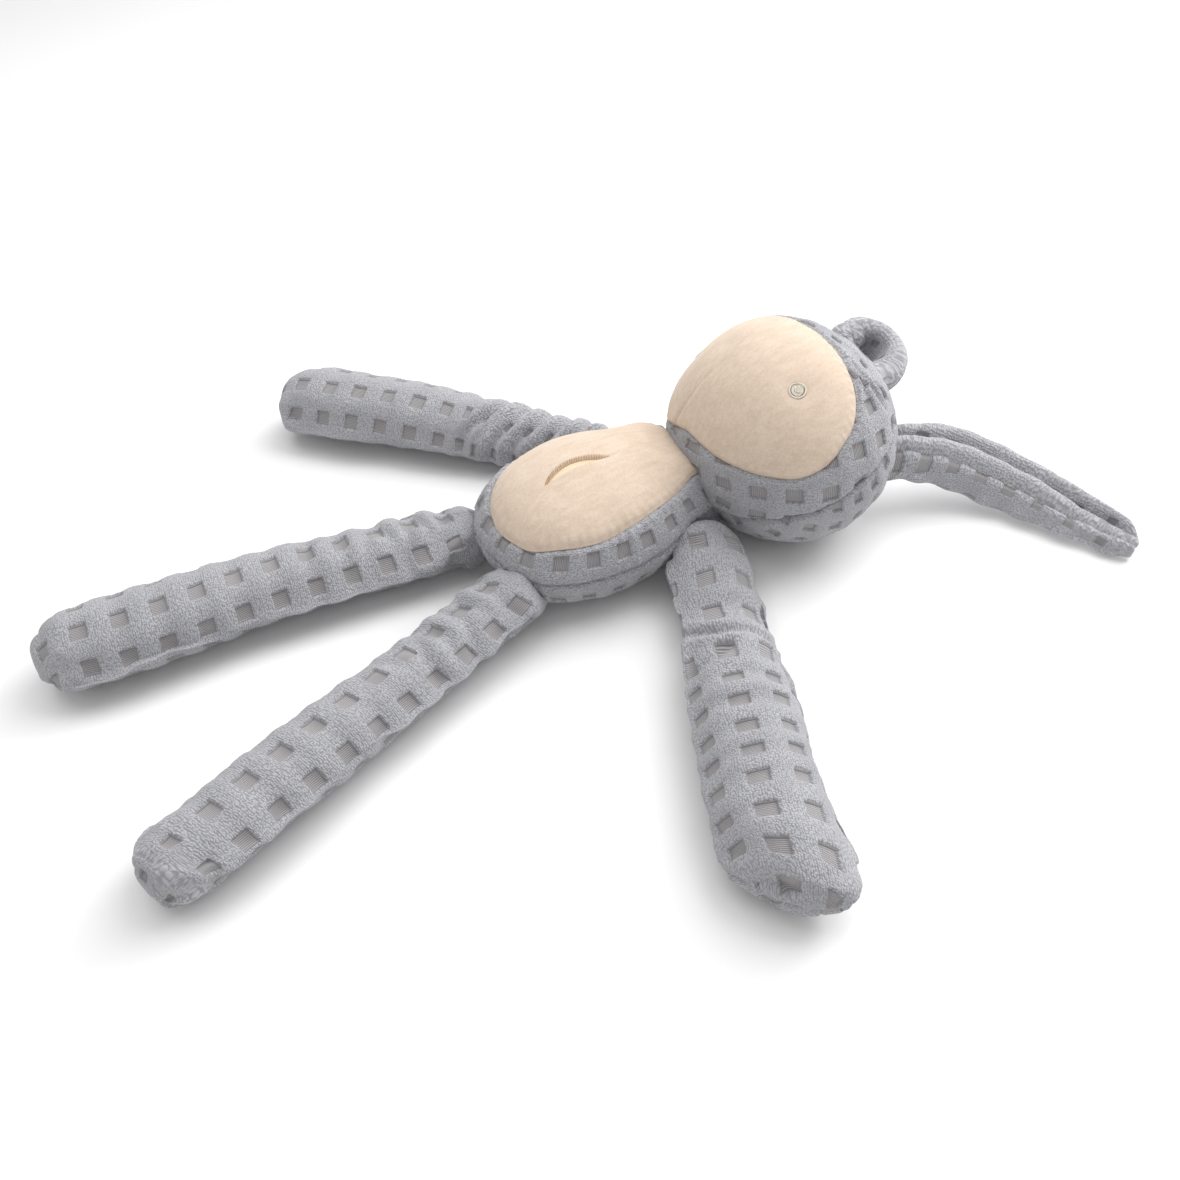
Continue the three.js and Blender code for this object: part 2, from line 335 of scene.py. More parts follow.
def slacken(grid, slack, held, growth, cap):
    """Lets a closed coarse grid of cloth, too long for its stuffing, find its own folds.

    slack says where the cloth is longer than its place and held where it can't move, both from
    0 to 1. It gives how far each point of the grid moves, in millimetres, up to cap.
    """
    rows, cols = grid.shape[:2]
    ends = [grid[0].mean(0), grid[-1].mean(0)]
    places = np.concatenate([grid.reshape(-1, 3), ends]) * MM * SIM_SCALE
    index = np.arange(rows * cols).reshape(rows, cols)
    turned = np.roll(index, -1, 1)
    faces = np.stack([index[:-1], turned[:-1], turned[1:], index[1:]], -1).reshape(-1, 4).tolist()
    first, last = rows * cols, rows * cols + 1
    faces += [[first, int(turned[0, i]), int(index[0, i])] for i in range(cols)]
    faces += [[last, int(index[-1, i]), int(turned[-1, i])] for i in range(cols)]
    mesh = bpy.data.meshes.new("slack_cloth")
    mesh.from_pydata(places.tolist(), [], faces)
    thing = add_object("slack_cloth", mesh)
    for name, weights in (("tight", 1 - slack), ("held", held)):
        group = thing.vertex_groups.new(name=name)
        for i, weight in enumerate(weights.ravel()):
            group.add([i], float(weight), "REPLACE")
        group.add([first, last], 1.0, "REPLACE")
    cloth = thing.modifiers.new("Cloth", "CLOTH")
    cloth.collision_settings.use_collision = False
    cloth.point_cache.frame_start = 1
    cloth.point_cache.frame_end = SIM_FRAMES
    settings = cloth.settings
    for key, value in SIM_SETTINGS.items():
        setattr(settings, key, value)
    settings.effector_weights.gravity = 0
    settings.vertex_group_mass = "held"
    settings.vertex_group_shrink = "tight"
    settings.shrink_max = 0.0
    settings.shrink_min = -growth
    scene = bpy.context.scene
    for number in range(1, SIM_FRAMES + 1):
        scene.frame_set(number)
    settled = thing.evaluated_get(bpy.context.evaluated_depsgraph_get())
    found = np.empty(len(places) * 3, np.float32)
    settled.data.vertices.foreach_get("co", found)
    bpy.data.objects.remove(thing)
    bpy.data.meshes.remove(mesh)
    scene.frame_set(1)
    moved = found.reshape(-1, 3)[:rows * cols].reshape(rows, cols, 3) / (MM * SIM_SCALE) - grid
    length = np.linalg.norm(moved, axis=-1, keepdims=True)
    return moved * np.minimum(1, cap / np.maximum(length, 1e-9))


def spline_weights(f):
    return ((1 - f) ** 3 / 6, (3 * f**3 - 6 * f**2 + 4) / 6,
            (-3 * f**3 + 3 * f**2 + 3 * f + 1) / 6, f**3 / 6)


def sampled(field, row, col):
    """A coarse field's smooth value at fractional rows and columns. Its columns close a ring."""
    rows, cols = field.shape[:2]
    row_cell, col_cell = np.floor(row).astype(int), np.floor(col).astype(int)
    row_weights, col_weights = spline_weights(row - row_cell), spline_weights(col - col_cell)
    total = 0.0
    for i in range(4):
        near_row = np.clip(row_cell + i - 1, 0, rows - 1)
        for j in range(4):
            near_col = (col_cell + j - 1) % cols
            weight = (row_weights[i] * col_weights[j])[..., None]
            total = total + weight * field[near_row, near_col]
    return total


# Materials

# The first terry colour is painted shade for the crevices between the loops; the two after it are the
# terry's own patchy grey.
TERRY_CREVICE_SHADE = (0.275, 0.275, 0.295, 1)
TERRY_LIGHT_LOW = (0.405, 0.405, 0.432, 1)
TERRY_LIGHT_HIGH = (0.46, 0.46, 0.487, 1)
WEAVE_DARK = (0.20, 0.19, 0.195, 1)
WEAVE_LIGHT = (0.47, 0.447, 0.457, 1)
WEAVE_SHADOW = (0.10, 0.095, 0.10, 1)
VELOUR_DARK = (0.60, 0.475, 0.37, 1)
VELOUR_LIGHT = (0.71, 0.585, 0.475, 1)
LOOPS_PER_REPEAT = (16.0, 18.0, 1.0)
RIBS_PER_REPEAT = 21


def new_material(name):
    material = bpy.data.materials.new(name)
    material.use_nodes = True
    tree = material.node_tree
    return material, tree, tree.nodes["Principled BSDF"]


class Nodes:
    """Short ways to add and link shader nodes in one tree."""

    def __init__(self, tree):
        self.tree = tree

    def add(self, kind, inputs=None, **settings):
        node = self.tree.nodes.new(kind)
        for key, value in settings.items():
            setattr(node, key, value)
        for key, value in (inputs or {}).items():
            if isinstance(value, bpy.types.NodeSocket):
                self.tree.links.new(value, node.inputs[key])
            else:
                node.inputs[key].default_value = value
        return node

    def math(self, operation, a, b=0.0, c=0.0):
        return self.add("ShaderNodeMath", {0: a, 1: b, 2: c}, operation=operation).outputs[0]

    def mix(self, factor, a, b):
        node = self.tree.nodes.new("ShaderNodeMix")
        node.data_type = "RGBA"
        for socket, value in ((node.inputs[0], factor), (node.inputs[6], a), (node.inputs[7], b)):
            if isinstance(value, bpy.types.NodeSocket):
                self.tree.links.new(value, socket)
            else:
                socket.default_value = value
        return node.outputs[2]

    def span(self, value, low, high, to_low=0.0, to_high=1.0):
        node = self.add("ShaderNodeMapRange", {0: value, 1: low, 2: high, 3: to_low, 4: to_high})
        node.interpolation_type = "SMOOTHSTEP"
        return node.outputs[0]


def dress(tree, shader, colour, height, strength, distance, roughness, sheen, **others):
    """Links the colour and the relief of a cloth, and sets its sheen."""
    bump = Nodes(tree).add("ShaderNodeBump",
                           {"Strength": strength, "Distance": distance, "Height": height})
    tree.links.new(bump.outputs[0], shader.inputs["Normal"])
    tree.links.new(colour, shader.inputs["Base Color"])
    shader.inputs["Roughness"].default_value = roughness
    shader.inputs["Sheen Weight"].default_value = sheen
    for key, value in others.items():
        shader.inputs[key.replace("_", " ")].default_value = value


def terry_material():
    material, tree, shader = new_material("grey_terry")
    n = Nodes(tree)
    uv = n.add("ShaderNodeUVMap", uv_map="fabric").outputs[0]
    split = n.add("ShaderNodeSeparateXYZ", {0: uv})
    fu = n.math("ABSOLUTE", n.math("SUBTRACT", n.math("FRACT", split.outputs[0]), 0.5))
    fv = n.math("ABSOLUTE", n.math("SUBTRACT", n.math("FRACT", split.outputs[1]), 0.5))
    edge = n.math("MAXIMUM", fu, fv)
    square = n.span(edge, SQUARE - 0.03, SQUARE + 0.02, 1.0, 0.0)
    # Terry loops: short dashes in wandering rows, about eighteen rows to a repeat
    drift = n.add("ShaderNodeTexNoise", {"Vector": uv, "Scale": 7.0, "Detail": 2.0})
    shift = n.add("ShaderNodeVectorMath", {0: drift.outputs[1], 1: (0.5, 0.5, 0.5)},
                  operation="SUBTRACT").outputs[0]
    shift = n.add("ShaderNodeVectorMath", {0: shift, 1: (0.16, 0.10, 0.0)},
                  operation="MULTIPLY").outputs[0]
    wandered = n.add("ShaderNodeVectorMath", {0: uv, 1: shift}, operation="ADD").outputs[0]
    loop_place = n.add("ShaderNodeVectorMath", {0: wandered, 1: LOOPS_PER_REPEAT},
                       operation="MULTIPLY").outputs[0]
    loop = n.add("ShaderNodeTexVoronoi", {"Vector": loop_place, "Scale": 1.0, "Randomness": 0.75},
                 voronoi_dimensions="2D", feature="F1")
    crown = n.span(loop.outputs[0], 0.62, 0.12)
    row_turn = n.add("ShaderNodeSeparateXYZ", {0: loop_place})
    row = n.span(n.math("SINE", n.math("MULTIPLY", row_turn.outputs[1], 2 * math.pi)), -1.0, 0.4)
    loop_height = n.math("ADD", n.math("MULTIPLY", crown, 0.75), n.math("MULTIPLY", row, 0.25))
    fine = n.add("ShaderNodeTexNoise", {"Vector": uv, "Scale": 60.0, "Detail": 3.0})
    # Ribs of the flat-woven squares
    rib = n.math("SINE", n.math("MULTIPLY", split.outputs[0], 2 * math.pi * RIBS_PER_REPEAT))
    rib_height = n.span(rib, -0.8, 0.8, 0.15, 0.75)
    height = n.add("ShaderNodeMix", {0: square, 2: loop_height, 3: rib_height}).outputs[0]
    height = n.math("ADD", height, n.math("MULTIPLY", fine.outputs[0], 0.3))
    patchy = n.add("ShaderNodeTexNoise", {"Vector": uv, "Scale": 1.3, "Detail": 4.0})
    light = n.mix(n.span(patchy.outputs[0], 0.3, 0.7), TERRY_LIGHT_LOW, TERRY_LIGHT_HIGH)
    # Loop colour: painted shade darkens the crevices between loops, over the terry's own patchy grey.
    loops_with_crevice_shade = n.mix(n.span(loop_height, 0.12, 0.62, 0.0, 1.0), TERRY_CREVICE_SHADE, light)
    weave_colour = n.mix(rib_height, WEAVE_DARK, WEAVE_LIGHT)
    # Painted shade: a dark line round the edge of each square, where its recessed wall would shade
    # it.
    square_edge_shade = n.span(edge, SQUARE - 0.045, SQUARE - 0.005, 1.0, 0.45)
    weave_colour = n.mix(square_edge_shade, WEAVE_SHADOW, weave_colour)
    dress(tree, shader, n.mix(square, loops_with_crevice_shade, weave_colour), height,
          strength=0.55, distance=0.0009, roughness=0.95, sheen=0.35,
          Sheen_Roughness=0.6, Specular_IOR_Level=0.15)
    return material


def velour_material():
    material, tree, shader = new_material("cream_velour")
    n = Nodes(tree)
    place = n.add("ShaderNodeTexCoord").outputs["Object"]
    broad = n.add("ShaderNodeTexNoise", {"Vector": place, "Scale": 70.0, "Detail": 5.0,
                                         "Roughness": 0.6})
    pile = n.add("ShaderNodeTexNoise", {"Vector": place, "Scale": 900.0, "Detail": 4.0,
                                        "Roughness": 0.7})
    brushed = n.add("ShaderNodeVectorMath", {0: place, 1: (380.0, 90.0, 380.0)},
                    operation="MULTIPLY").outputs[0]
    nap = n.add("ShaderNodeTexNoise", {"Vector": brushed, "Scale": 1.0, "Detail": 3.0})
    tone = n.math("ADD", n.math("MULTIPLY", broad.outputs[0], 0.4),
                  n.math("MULTIPLY", nap.outputs[0], 0.6))
    tone = n.math("ADD", tone, n.math("MULTIPLY", n.math("SUBTRACT", pile.outputs[0], 0.5), 0.9))
    colour = n.mix(n.span(tone, 0.2, 0.8), VELOUR_DARK, VELOUR_LIGHT)
    height = n.math("ADD", pile.outputs[0], n.math("MULTIPLY", nap.outputs[0], 0.8))
    dress(tree, shader, colour, height,
          strength=0.4, distance=0.0003, roughness=0.9, sheen=0.45,
          Sheen_Roughness=0.45, Sheen_Tint=(1.0, 0.93, 0.82, 1), Specular_IOR_Level=0.15)
    return material


def plain_weave_material(name, low, high, scale, strength, roughness):
    """A fine woven cloth or thread: ribs over a mottled colour."""
    material, tree, shader = new_material(name)
    n = Nodes(tree)
    place = n.add("ShaderNodeTexCoord").outputs["Object"]
    warp = n.add("ShaderNodeTexWave", {"Vector": place, "Scale": scale, "Distortion": 1.5})
    mottle = n.add("ShaderNodeTexNoise", {"Vector": place, "Scale": scale * 1.5, "Detail": 3.0})
    factor = n.math("ADD", n.math("MULTIPLY", warp.outputs[1], 0.5),
                    n.math("MULTIPLY", mottle.outputs[0], 0.5))
    dress(tree, shader, n.mix(factor, low, high), factor, strength,
          distance=0.0002, roughness=roughness, sheen=0.2)
    return material


TERRY = terry_material()
VELOUR = velour_material()
LINING = plain_weave_material("cream_lining", (0.72, 0.57, 0.40, 1), (0.86, 0.72, 0.54, 1),
                              400, 0.4, 0.8)
THREAD = plain_weave_material("eye_embroidery_thread", (0.60, 0.52, 0.42, 1),
                              (0.86, 0.80, 0.70, 1), 900, 0.6, 0.42)
STITCH = plain_weave_material("slit_thread", (0.42, 0.26, 0.14, 1), (0.66, 0.46, 0.28, 1),
                              900, 0.6, 0.6)
OUTLINE = plain_weave_material("eye_outline_thread", (0.22, 0.19, 0.17, 1),
                               (0.42, 0.37, 0.33, 1), 900, 0.6, 0.45)


def soft_piece(thing, nodes):
    if nodes:
        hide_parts(*nodes)
    return thing


# Head

HEAD_RADII = np.array([60.5, 53.5, 53.0])
head_low, head_high = node_box("head_front_panel", "head_back_panel", "face_patch")
HEAD_CENTRE = np.append((head_low + head_high)[:2] / 2, head_high[2] - HEAD_RADII[2])
HEAD_ROLL = math.radians(-11)
FACE_TILT = math.radians(22)
FACE_HALF = (56.3, 40.3)
FACE_SHIFT = -5.15      # how far the patch lies towards the chin
FABRIC_TURN = math.radians(22)   # the ring's cloth lies level, not turned with the face
FACE_POWER = 2.2
CHIN_LIFT = 2.6
SIDE_SEAM_ANGLE = math.radians(94)
HEAD_MEAN_RADIUS = 56.0
HEAD_LUMPS = (0.7, 11)              # amount in millimetres, and seed
HEAD_SEAM = (1.5, 1.35, 0.1)        # depth, width and pucker
HEAD_GRID = (44, 88)                # the coarse grid that is simulated
HEAD_POLE_GAP = 0.07
HEAD_COLS = 640
FACE_ROWS, HEAD_ROWS = 96, 140
EYE_ACROSS = {1: 34.4, -1: -46.0}
EYE_ALONG = -1.0


def turned_to_face(v):
    x, y, z = v
    y, z = (y * math.cos(FACE_TILT) - z * math.sin(FACE_TILT),
            y * math.sin(FACE_TILT) + z * math.cos(FACE_TILT))
    return np.array([x * math.cos(HEAD_ROLL) + z * math.sin(HEAD_ROLL), y,
                     -x * math.sin(HEAD_ROLL) + z * math.cos(HEAD_ROLL)])


FACE_OUT = turned_to_face((0, 0, 1))
FACE_LEFT = turned_to_face((1, 0, 0))
FACE_UP = turned_to_face((0, 1, 0))


def head_point(direction):
    """A point of the head's skin in a direction given in the head's unit ball."""
    return HEAD_CENTRE + HEAD_RADII * direction


def head_direction(x, y):
    """The unit-ball direction of the skin over a place (x, y) in the face's own plane."""
    offset = x[..., None] * FACE_LEFT + y[..., None] * FACE_UP
    a = offset / HEAD_RADII
    b = FACE_OUT / HEAD_RADII
    aa, bb, ab = (a * a).sum(-1), (b * b).sum(), (a * b).sum(-1)
    t = (-ab + np.sqrt(np.maximum(ab * ab - bb * (aa - 1), 0))) / bb
    return unit(a + t[..., None] * b)


def arc_between(a, b, t):
    """Directions on the way from a to b round the unit ball."""
    angle = np.arccos(np.clip((a * b).sum(-1), -1, 1))[..., None]
    t = t[..., None]
    return (np.sin((1 - t) * angle) * a + np.sin(t * angle) * b) / np.sin(angle)


face_pole = unit(FACE_OUT / HEAD_RADII)
ball_left = unit(FACE_LEFT - (FACE_LEFT @ face_pole) * face_pole)
ball_up = np.cross(face_pole, ball_left)


def face_edge(count):
    """Directions of the face patch's edge, all the way round."""
    angle = full_turn(count)
    c, s = np.cos(angle), np.sin(angle)
    x = np.sign(c) * np.abs(c) ** (2 / FACE_POWER) * FACE_HALF[0]
    y = np.sign(s) * np.abs(s) ** (2 / FACE_POWER) * FACE_HALF[1] + FACE_SHIFT
    y = y + np.where(s < 0, CHIN_LIFT * bell(x + 10, 18), 0.0)
    dense = head_direction(x, y)
    azimuth = np.arctan2(dense @ ball_up, dense @ ball_left) % (2 * np.pi)
    tilt = np.arccos(np.clip(dense @ face_pole, -1, 1))
    wanted = full_turn(count)
    order = np.argsort(azimuth)
    tilt = np.interp(wanted, azimuth[order], tilt[order], period=2 * np.pi)
    around = (np.cos(wanted)[:, None] * ball_left + np.sin(wanted)[:, None] * ball_up)
    return np.cos(tilt)[:, None] * face_pole + np.sin(tilt)[:, None] * around, around


HEAD_PHASE = (0.58, 0.71)
CROWN = np.array([42.0, 128.0, 92.0])   # by the right ear's root, where the cloth is plain


def head_fabric(direction):
    """Places on the terry of the head's front ring: flat about each side of the head."""
    side = np.where(direction @ ball_left >= 0, 1.0, -1.0)[..., None]
    middle = side * ball_left
    away = np.clip((direction * middle).sum(-1), -1, 1)
    angle = np.arccos(away)
    tangent = unit(direction - away[..., None] * middle)
    up, out = tangent @ ball_up, tangent @ face_pole
    c, s = math.cos(FABRIC_TURN), math.sin(FABRIC_TURN)
    u = HEAD_MEAN_RADIUS * angle * (c * up - s * out) / PITCH
    v = HEAD_MEAN_RADIUS * angle * (s * up + c * out) / PITCH
    to_crown = np.linalg.norm(head_point(direction) - CROWN, axis=-1)
    amount = (-0.15 + 0.85 * bell(to_crown, 19))[..., None]
    return resized(np.stack([u + HEAD_PHASE[0], v + HEAD_PHASE[1]], -1), amount)


def path_distance(points, path):
    """The distance of points from a path, and how far along it their nearest places are."""
    best = np.full(points.shape[:-1], 1e9)
    share = np.zeros(points.shape[:-1])
    steps = len(path) - 1
    for i in range(steps):
        a, b = path[i], path[i + 1]
        t = np.clip(((points - a) @ (b - a)) / ((b - a) @ (b - a)), 0, 1)
        distance = np.linalg.norm(points - (a + t[..., None] * (b - a)), axis=-1)
        share = np.where(distance < best, (i + t) / steps, share)
        best = np.minimum(best, distance)
    return best, share


CHEEK_FLAT = unit([-0.79, -0.35, 0.5])
CHEEK_DEPTH, CHEEK_SPREAD = 2.8, 26


def cheek_hollow(direction):
    """How far the cheek that turns away from the light lies under the plain ellipsoid."""
    angle = np.arccos(np.clip(direction @ CHEEK_FLAT, -1, 1))
    return CHEEK_DEPTH * bell(angle * HEAD_MEAN_RADIUS, CHEEK_SPREAD)


def on_head(points):
    """The nearest places to points on the head's plain ellipsoid, seen from its middle."""
    return head_point(unit((np.asarray(points) - HEAD_CENTRE) / HEAD_RADII))


CHIN_DART = on_head(spline([(1.5, 53.0, 62.0), (5.4, 62.4, 81.1), (7.9, 73.6, 92.7),
                            (8.4, 84.0, 98.5)], 12))
# Where the right ear's root pulls the crown: a small slot and the creases by it, each with its
# route, depth and width
CROWN_CREASES = [
    (spline([(51.0, 121.2, 92.4), (54.2, 120.6, 91.1), (56.8, 121.4, 89.0)], 6), 4.5, 0.95),
    (spline([(41.3, 122.0, 95.9), (50.0, 123.0, 92.8), (59.1, 125.9, 85.2), (64.2, 129, 77)], 12),
     1.4, 1.5),
    (spline([(49.9, 128.3, 89.2), (54.5, 129.8, 85.7), (58.1, 134.6, 77.2)], 8), 1.4, 1.3),
    (spline([(37.9, 121.1, 97.0), (50.7, 118.2, 91.1), (60.5, 118.5, 83.4)], 10), 1.1, 1.3),
]


def head_slack():
    """How the head's cloth puffs between its seams, on a coarse grid of tilt and azimuth."""
    tilt = np.linspace(HEAD_POLE_GAP, np.pi - HEAD_POLE_GAP, HEAD_GRID[0])[:, None]
    edge, around = face_edge(HEAD_GRID[1])
    direction = np.cos(tilt)[..., None] * face_pole + np.sin(tilt)[..., None] * around[None]
    edge_tilt = np.arccos(np.clip(edge @ face_pole, -1, 1))[None]
    to_face_seam = (tilt - edge_tilt) * HEAD_MEAN_RADIUS
    to_side_seam = (tilt - SIDE_SEAM_ANGLE) * HEAD_MEAN_RADIUS
    slack = 1 - np.maximum(bell(to_face_seam, 4), bell(to_side_seam, 4) + 0 * edge_tilt)
    slack = slack * np.where(to_face_seam < 0, 0.4, 1.0)
    held = np.zeros_like(slack)
    held[[0, -1]] = 1.0
    out = unit(direction / HEAD_RADII)
    grid = head_point(direction)
    grid = grid + out * lumps(grid, *HEAD_LUMPS)[..., None]
    moved = slacken(grid, slack, held, 0.07, 3.0)
    return moved - out * (moved * out).sum(-1).mean()


def head_displaced(direction, seam, along, kind, uv, seed):
    """The head's finished skin in those directions, and its plain normals."""
    base = head_point(direction)
    normal = unit(direction / HEAD_RADII)
    tilt = np.arccos(np.clip(direction @ face_pole, -1, 1))
    azimuth = np.arctan2(direction @ ball_up, direction @ ball_left) % (2 * np.pi)
    row = (tilt - HEAD_POLE_GAP) / (np.pi - 2 * HEAD_POLE_GAP) * (HEAD_GRID[0] - 1)
    row = np.clip(row, 0, HEAD_GRID[0] - 1)
    moved = sampled(HEAD_SLACK, row, azimuth / (2 * np.pi) * HEAD_GRID[1])
    if kind == "velour":
        calm = (1 - 0.8 * ease(seam, 0, 14)) * ease(tilt, 0.1, 0.6)
        moved = moved * calm[..., None]
    puffed = base + moved
    h = lumps(base, *HEAD_LUMPS) - cheek_hollow(direction)
    if kind == "terry":
        h = h + terry_height(uv[..., 0], uv[..., 1], seed, 0.22, 1.15)
        for path, depth, width in CROWN_CREASES:
            distance, t = path_distance(base, on_head(path))
            h = h - depth * bell(distance, width) * np.sin(np.pi * t) ** 0.5
            h = h + 0.35 * depth * bell(distance - 2.2 * width, 1.3 * width) * np.sin(np.pi * t)
    else:
        distance, t = path_distance(base, CHIN_DART)
        h = h - 0.6 * bell(distance, 1.0) * (1 - t) ** 0.5
        h = h + 0.4 * bell(distance - 3.5, 3.0) * (1 - t)
        for side in (1, -1):
            eye = eye_centre(side)
            h = h - 1.3 * bell(np.linalg.norm(base - eye, axis=-1), 6.5)
    h = h + seam_dip(seam, along, *HEAD_SEAM)
    return settle(puffed + normal * h[..., None]), normal


def eye_centre(side):
    return head_point(head_direction(np.array(EYE_ACROSS[side]), np.array(EYE_ALONG)))


HEAD_SLACK = head_slack()


def sheet(start, end, rows):
    """Directions from start to end over the head, and how far on the way each row is."""
    t = np.linspace(0, 1, rows)[:, None] * np.ones((1, HEAD_COLS))
    shape = (rows, HEAD_COLS, 3)
    return arc_between(np.broadcast_to(start, shape), np.broadcast_to(end, shape), t), t


def ball_distance(a, b):
    return np.arccos(np.clip((a * b).sum(-1), -1, 1)) * HEAD_MEAN_RADIUS


def sew_head_panel(name, direction, gap, kind, uv, seed, turned_in, **poles):
    along = full_turn(HEAD_COLS) * HEAD_MEAN_RADIUS
    points, normals = head_displaced(direction, gap, along[None] + 0 * gap, kind, uv, seed)
    points, uv = skirted(points, uv, normals, turned_in)
    return cloth_mesh(name, points, uv, VELOUR if kind == "velour" else TERRY, wrap=True, **poles)


def make_head():
    edge, around = face_edge(HEAD_COLS)
    side_seam = math.cos(SIDE_SEAM_ANGLE) * face_pole + math.sin(SIDE_SEAM_ANGLE) * around

    direction, _ = sheet(face_pole, edge, FACE_ROWS)
    direction[0] = face_pole
    uv = np.stack([direction @ ball_left, direction @ ball_up], -1) * HEAD_MEAN_RADIUS / PITCH
    face = sew_head_panel("face_patch_velour", direction, ball_distance(direction, edge[None]),
                          "velour", uv, 21, ["last"], pole_first=True)
    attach(soft_piece(face, ["face_patch"]), "head")

    direction, t = sheet(edge, side_seam, HEAD_ROWS)
    gap = np.minimum(t, 1 - t) * ball_distance(edge, side_seam)[None]
    ring = sew_head_panel("head_front_panel_terry", direction, gap, "terry",
                          head_fabric(direction), 31, ["first", "last"])
    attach(soft_piece(ring, ["head_front_panel"]), "head")

    back_pole = -face_pole
    direction, _ = sheet(side_seam, back_pole, HEAD_ROWS)
    direction[-1] = back_pole
    spread = np.arccos(np.clip(direction @ back_pole, -1, 1))
    flat = unit(direction - (direction @ back_pole)[..., None] * back_pole)
    uv = np.stack([spread * (flat @ ball_up), spread * (flat @ ball_left)], -1)
    uv = uv * HEAD_MEAN_RADIUS / PITCH
    gap = ball_distance(direction, side_seam[None])
    back = sew_head_panel("head_back_panel_terry", direction, gap, "terry", uv, 41, ["first"],
                          pole_last=True)
    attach(soft_piece(back, ["head_back_panel", "head_stuffing"]), "head")


def thread_tube(name, paths, radius, material, sides=6):
    """Short lengths of thread along the given paths, as one mesh."""
    all_points, all_quads, count = [], [], 0
    for path in paths:
        path = np.asarray(path, float)
        tangent = unit(np.gradient(path, axis=0))
        up = np.where(np.abs(tangent[:, 2:3]) > 0.9, [[1.0, 0, 0]], [[0, 0, 1.0]])
        side = unit(np.cross(tangent, up))
        other = np.cross(side, tangent)
        angle = full_turn(sides)[None, :, None]
        size = radius * np.sqrt(np.clip(1 - np.linspace(-1, 1, len(path)) ** 6, 0.1, 1))
        round_it = np.cos(angle) * side[:, None] + np.sin(angle) * other[:, None]
        ring = path[:, None] + size[:, None, None] * round_it
        index = np.arange(len(path) * sides).reshape(len(path), sides) + count
        nxt = np.roll(index, -1, 1)
        quads = np.stack([index[:-1], nxt[:-1], nxt[1:], index[1:]], -1).reshape(-1, 4)
        all_points.append(ring.reshape(-1, 3))
        all_quads.append(quads)
        count += index.size
    points = to_row(np.concatenate(all_points))
    mesh = bpy.data.meshes.new(name)
    mesh.from_pydata(points.tolist(), [], np.concatenate(all_quads).tolist())
    mesh.polygons.foreach_set("use_smooth", np.ones(len(mesh.polygons), bool))
    mesh.materials.append(material)
    return add_object(name, mesh)


def make_eye(name, side):
    """Rings of satin stitches sunk a little in the velour, inside a darker outline."""
    random = np.random.default_rng(70 + side)
    centre = eye_centre(side)
    direction = (centre - HEAD_CENTRE) / HEAD_RADII
    normal = unit(direction / HEAD_RADII)
    a = unit(np.cross(normal, FACE_UP))
    b = np.cross(normal, a)
    floor = centre - normal * (1.1 + cheek_hollow(direction))

    def ring(radius, rise, wander, start=0.0, turns=1.0, count=60):
        t = start + np.linspace(0, 2 * np.pi * turns, count)
        r = radius + wander * np.interp(t, np.linspace(t[0], t[-1], 9), random.normal(0, 1, 9))
        lift = rise - 0.018 * r**2
        return (floor + r[:, None] * (np.cos(t)[:, None] * a + np.sin(t)[:, None] * b)
                + lift[:, None] * normal)

    pale = [ring(r, 0.72, 0.16, random.uniform(0, 6)) for r in (0.35, 0.8, 1.25, 1.7, 2.15, 2.6)]
    pale += [ring(r, 0.72, 0.06, random.uniform(0, 6)) for r in (3.5, 3.75)]
    pieces = thread_tube(name, pale, 0.30, THREAD)
    outline = thread_tube(name + "_outline", [ring(3.15, 0.66, 0.10), ring(4.1, 0.6, 0.08)],
                          0.15, OUTLINE)
    return pieces, outline


# Torso

TORSO_CENTRE = np.array([1.0, 4.0])
TORSO_POWER = 2.1                   # of its rounded section; 2 would be an ellipse
TORSO_LUMPS = (0.8, 61)
TORSO_GRID = (44, 88)               # the coarse grid that is simulated
TORSO_POLE_GAP = 0.07
TORSO_COLS = 640
RING_ROWS, BACK_ROWS = 100, 120
PATCH_ROWS = 110
PATCH_LUMPS = (0.6, 51)
PATCH_SEAM = (1.2, 1.6, 0.1)        # depth, width and pucker
BACK_LIP_HEIGHT, FRONT_LIP_HEIGHT = 0.5, 0.2
SLIT_STEPS = 210                    # along one lip of the slit
# The lips' turned edge, lowest row first: how far down, and its share of the way inwards
SLIT_TURNS = ((1.3, 0.0375), (0.5, -0.025))
STITCH_COUNT = 30
TORSO_SEAM_Z = 29.5
TORSO_PHASE = np.array([0.02, 0.86])
BACK_PHASE = np.array([0.16, -0.17])
_, torso_high = node_box("torso_front_panel", "torso_back_panel", "tummy_patch")
TORSO_RISE = torso_high[2] - TORSO_SEAM_Z
TORSO_OUTLINE = [
    (1, -50.5), (20, -48), (34, -39), (43, -22), (46.5, -4), (46.5, 12), (43, 28), (37, 42),
    (33, 54), (29, 66), (16, 73), (0, 74), (-14, 73), (-27, 66), (-31, 54), (-35, 42),
    (-41, 28), (-44.5, 12), (-44.5, -4), (-41, -22), (-32, -39), (-18, -48),
]
PATCH_OUTLINE = [
    (-1, -46), (12, -45), (25, -39.7), (34.2, -27), (39.6, -11), (39.8, 6), (36.6, 22), (31, 38),
    (25.5, 50), (20, 66), (3, 69), (-15, 66), (-24, 56), (-31, 43), (-36, 29), (-39, 12),
    (-38.5, -4), (-34, -20), (-25, -34), (-14, -42.5),
]
SLIT_BACK_LIP = [(3.2, -19.8), (-0.2, -13.0), (-1.5, -3.0), (0.8, 7.0), (5.2, 13.8)]
SLIT_FRONT_LIP = [(3.2, -19.8), (2.6, -12.2), (2.5, -3.0), (3.5, 6.3), (5.2, 13.8)]


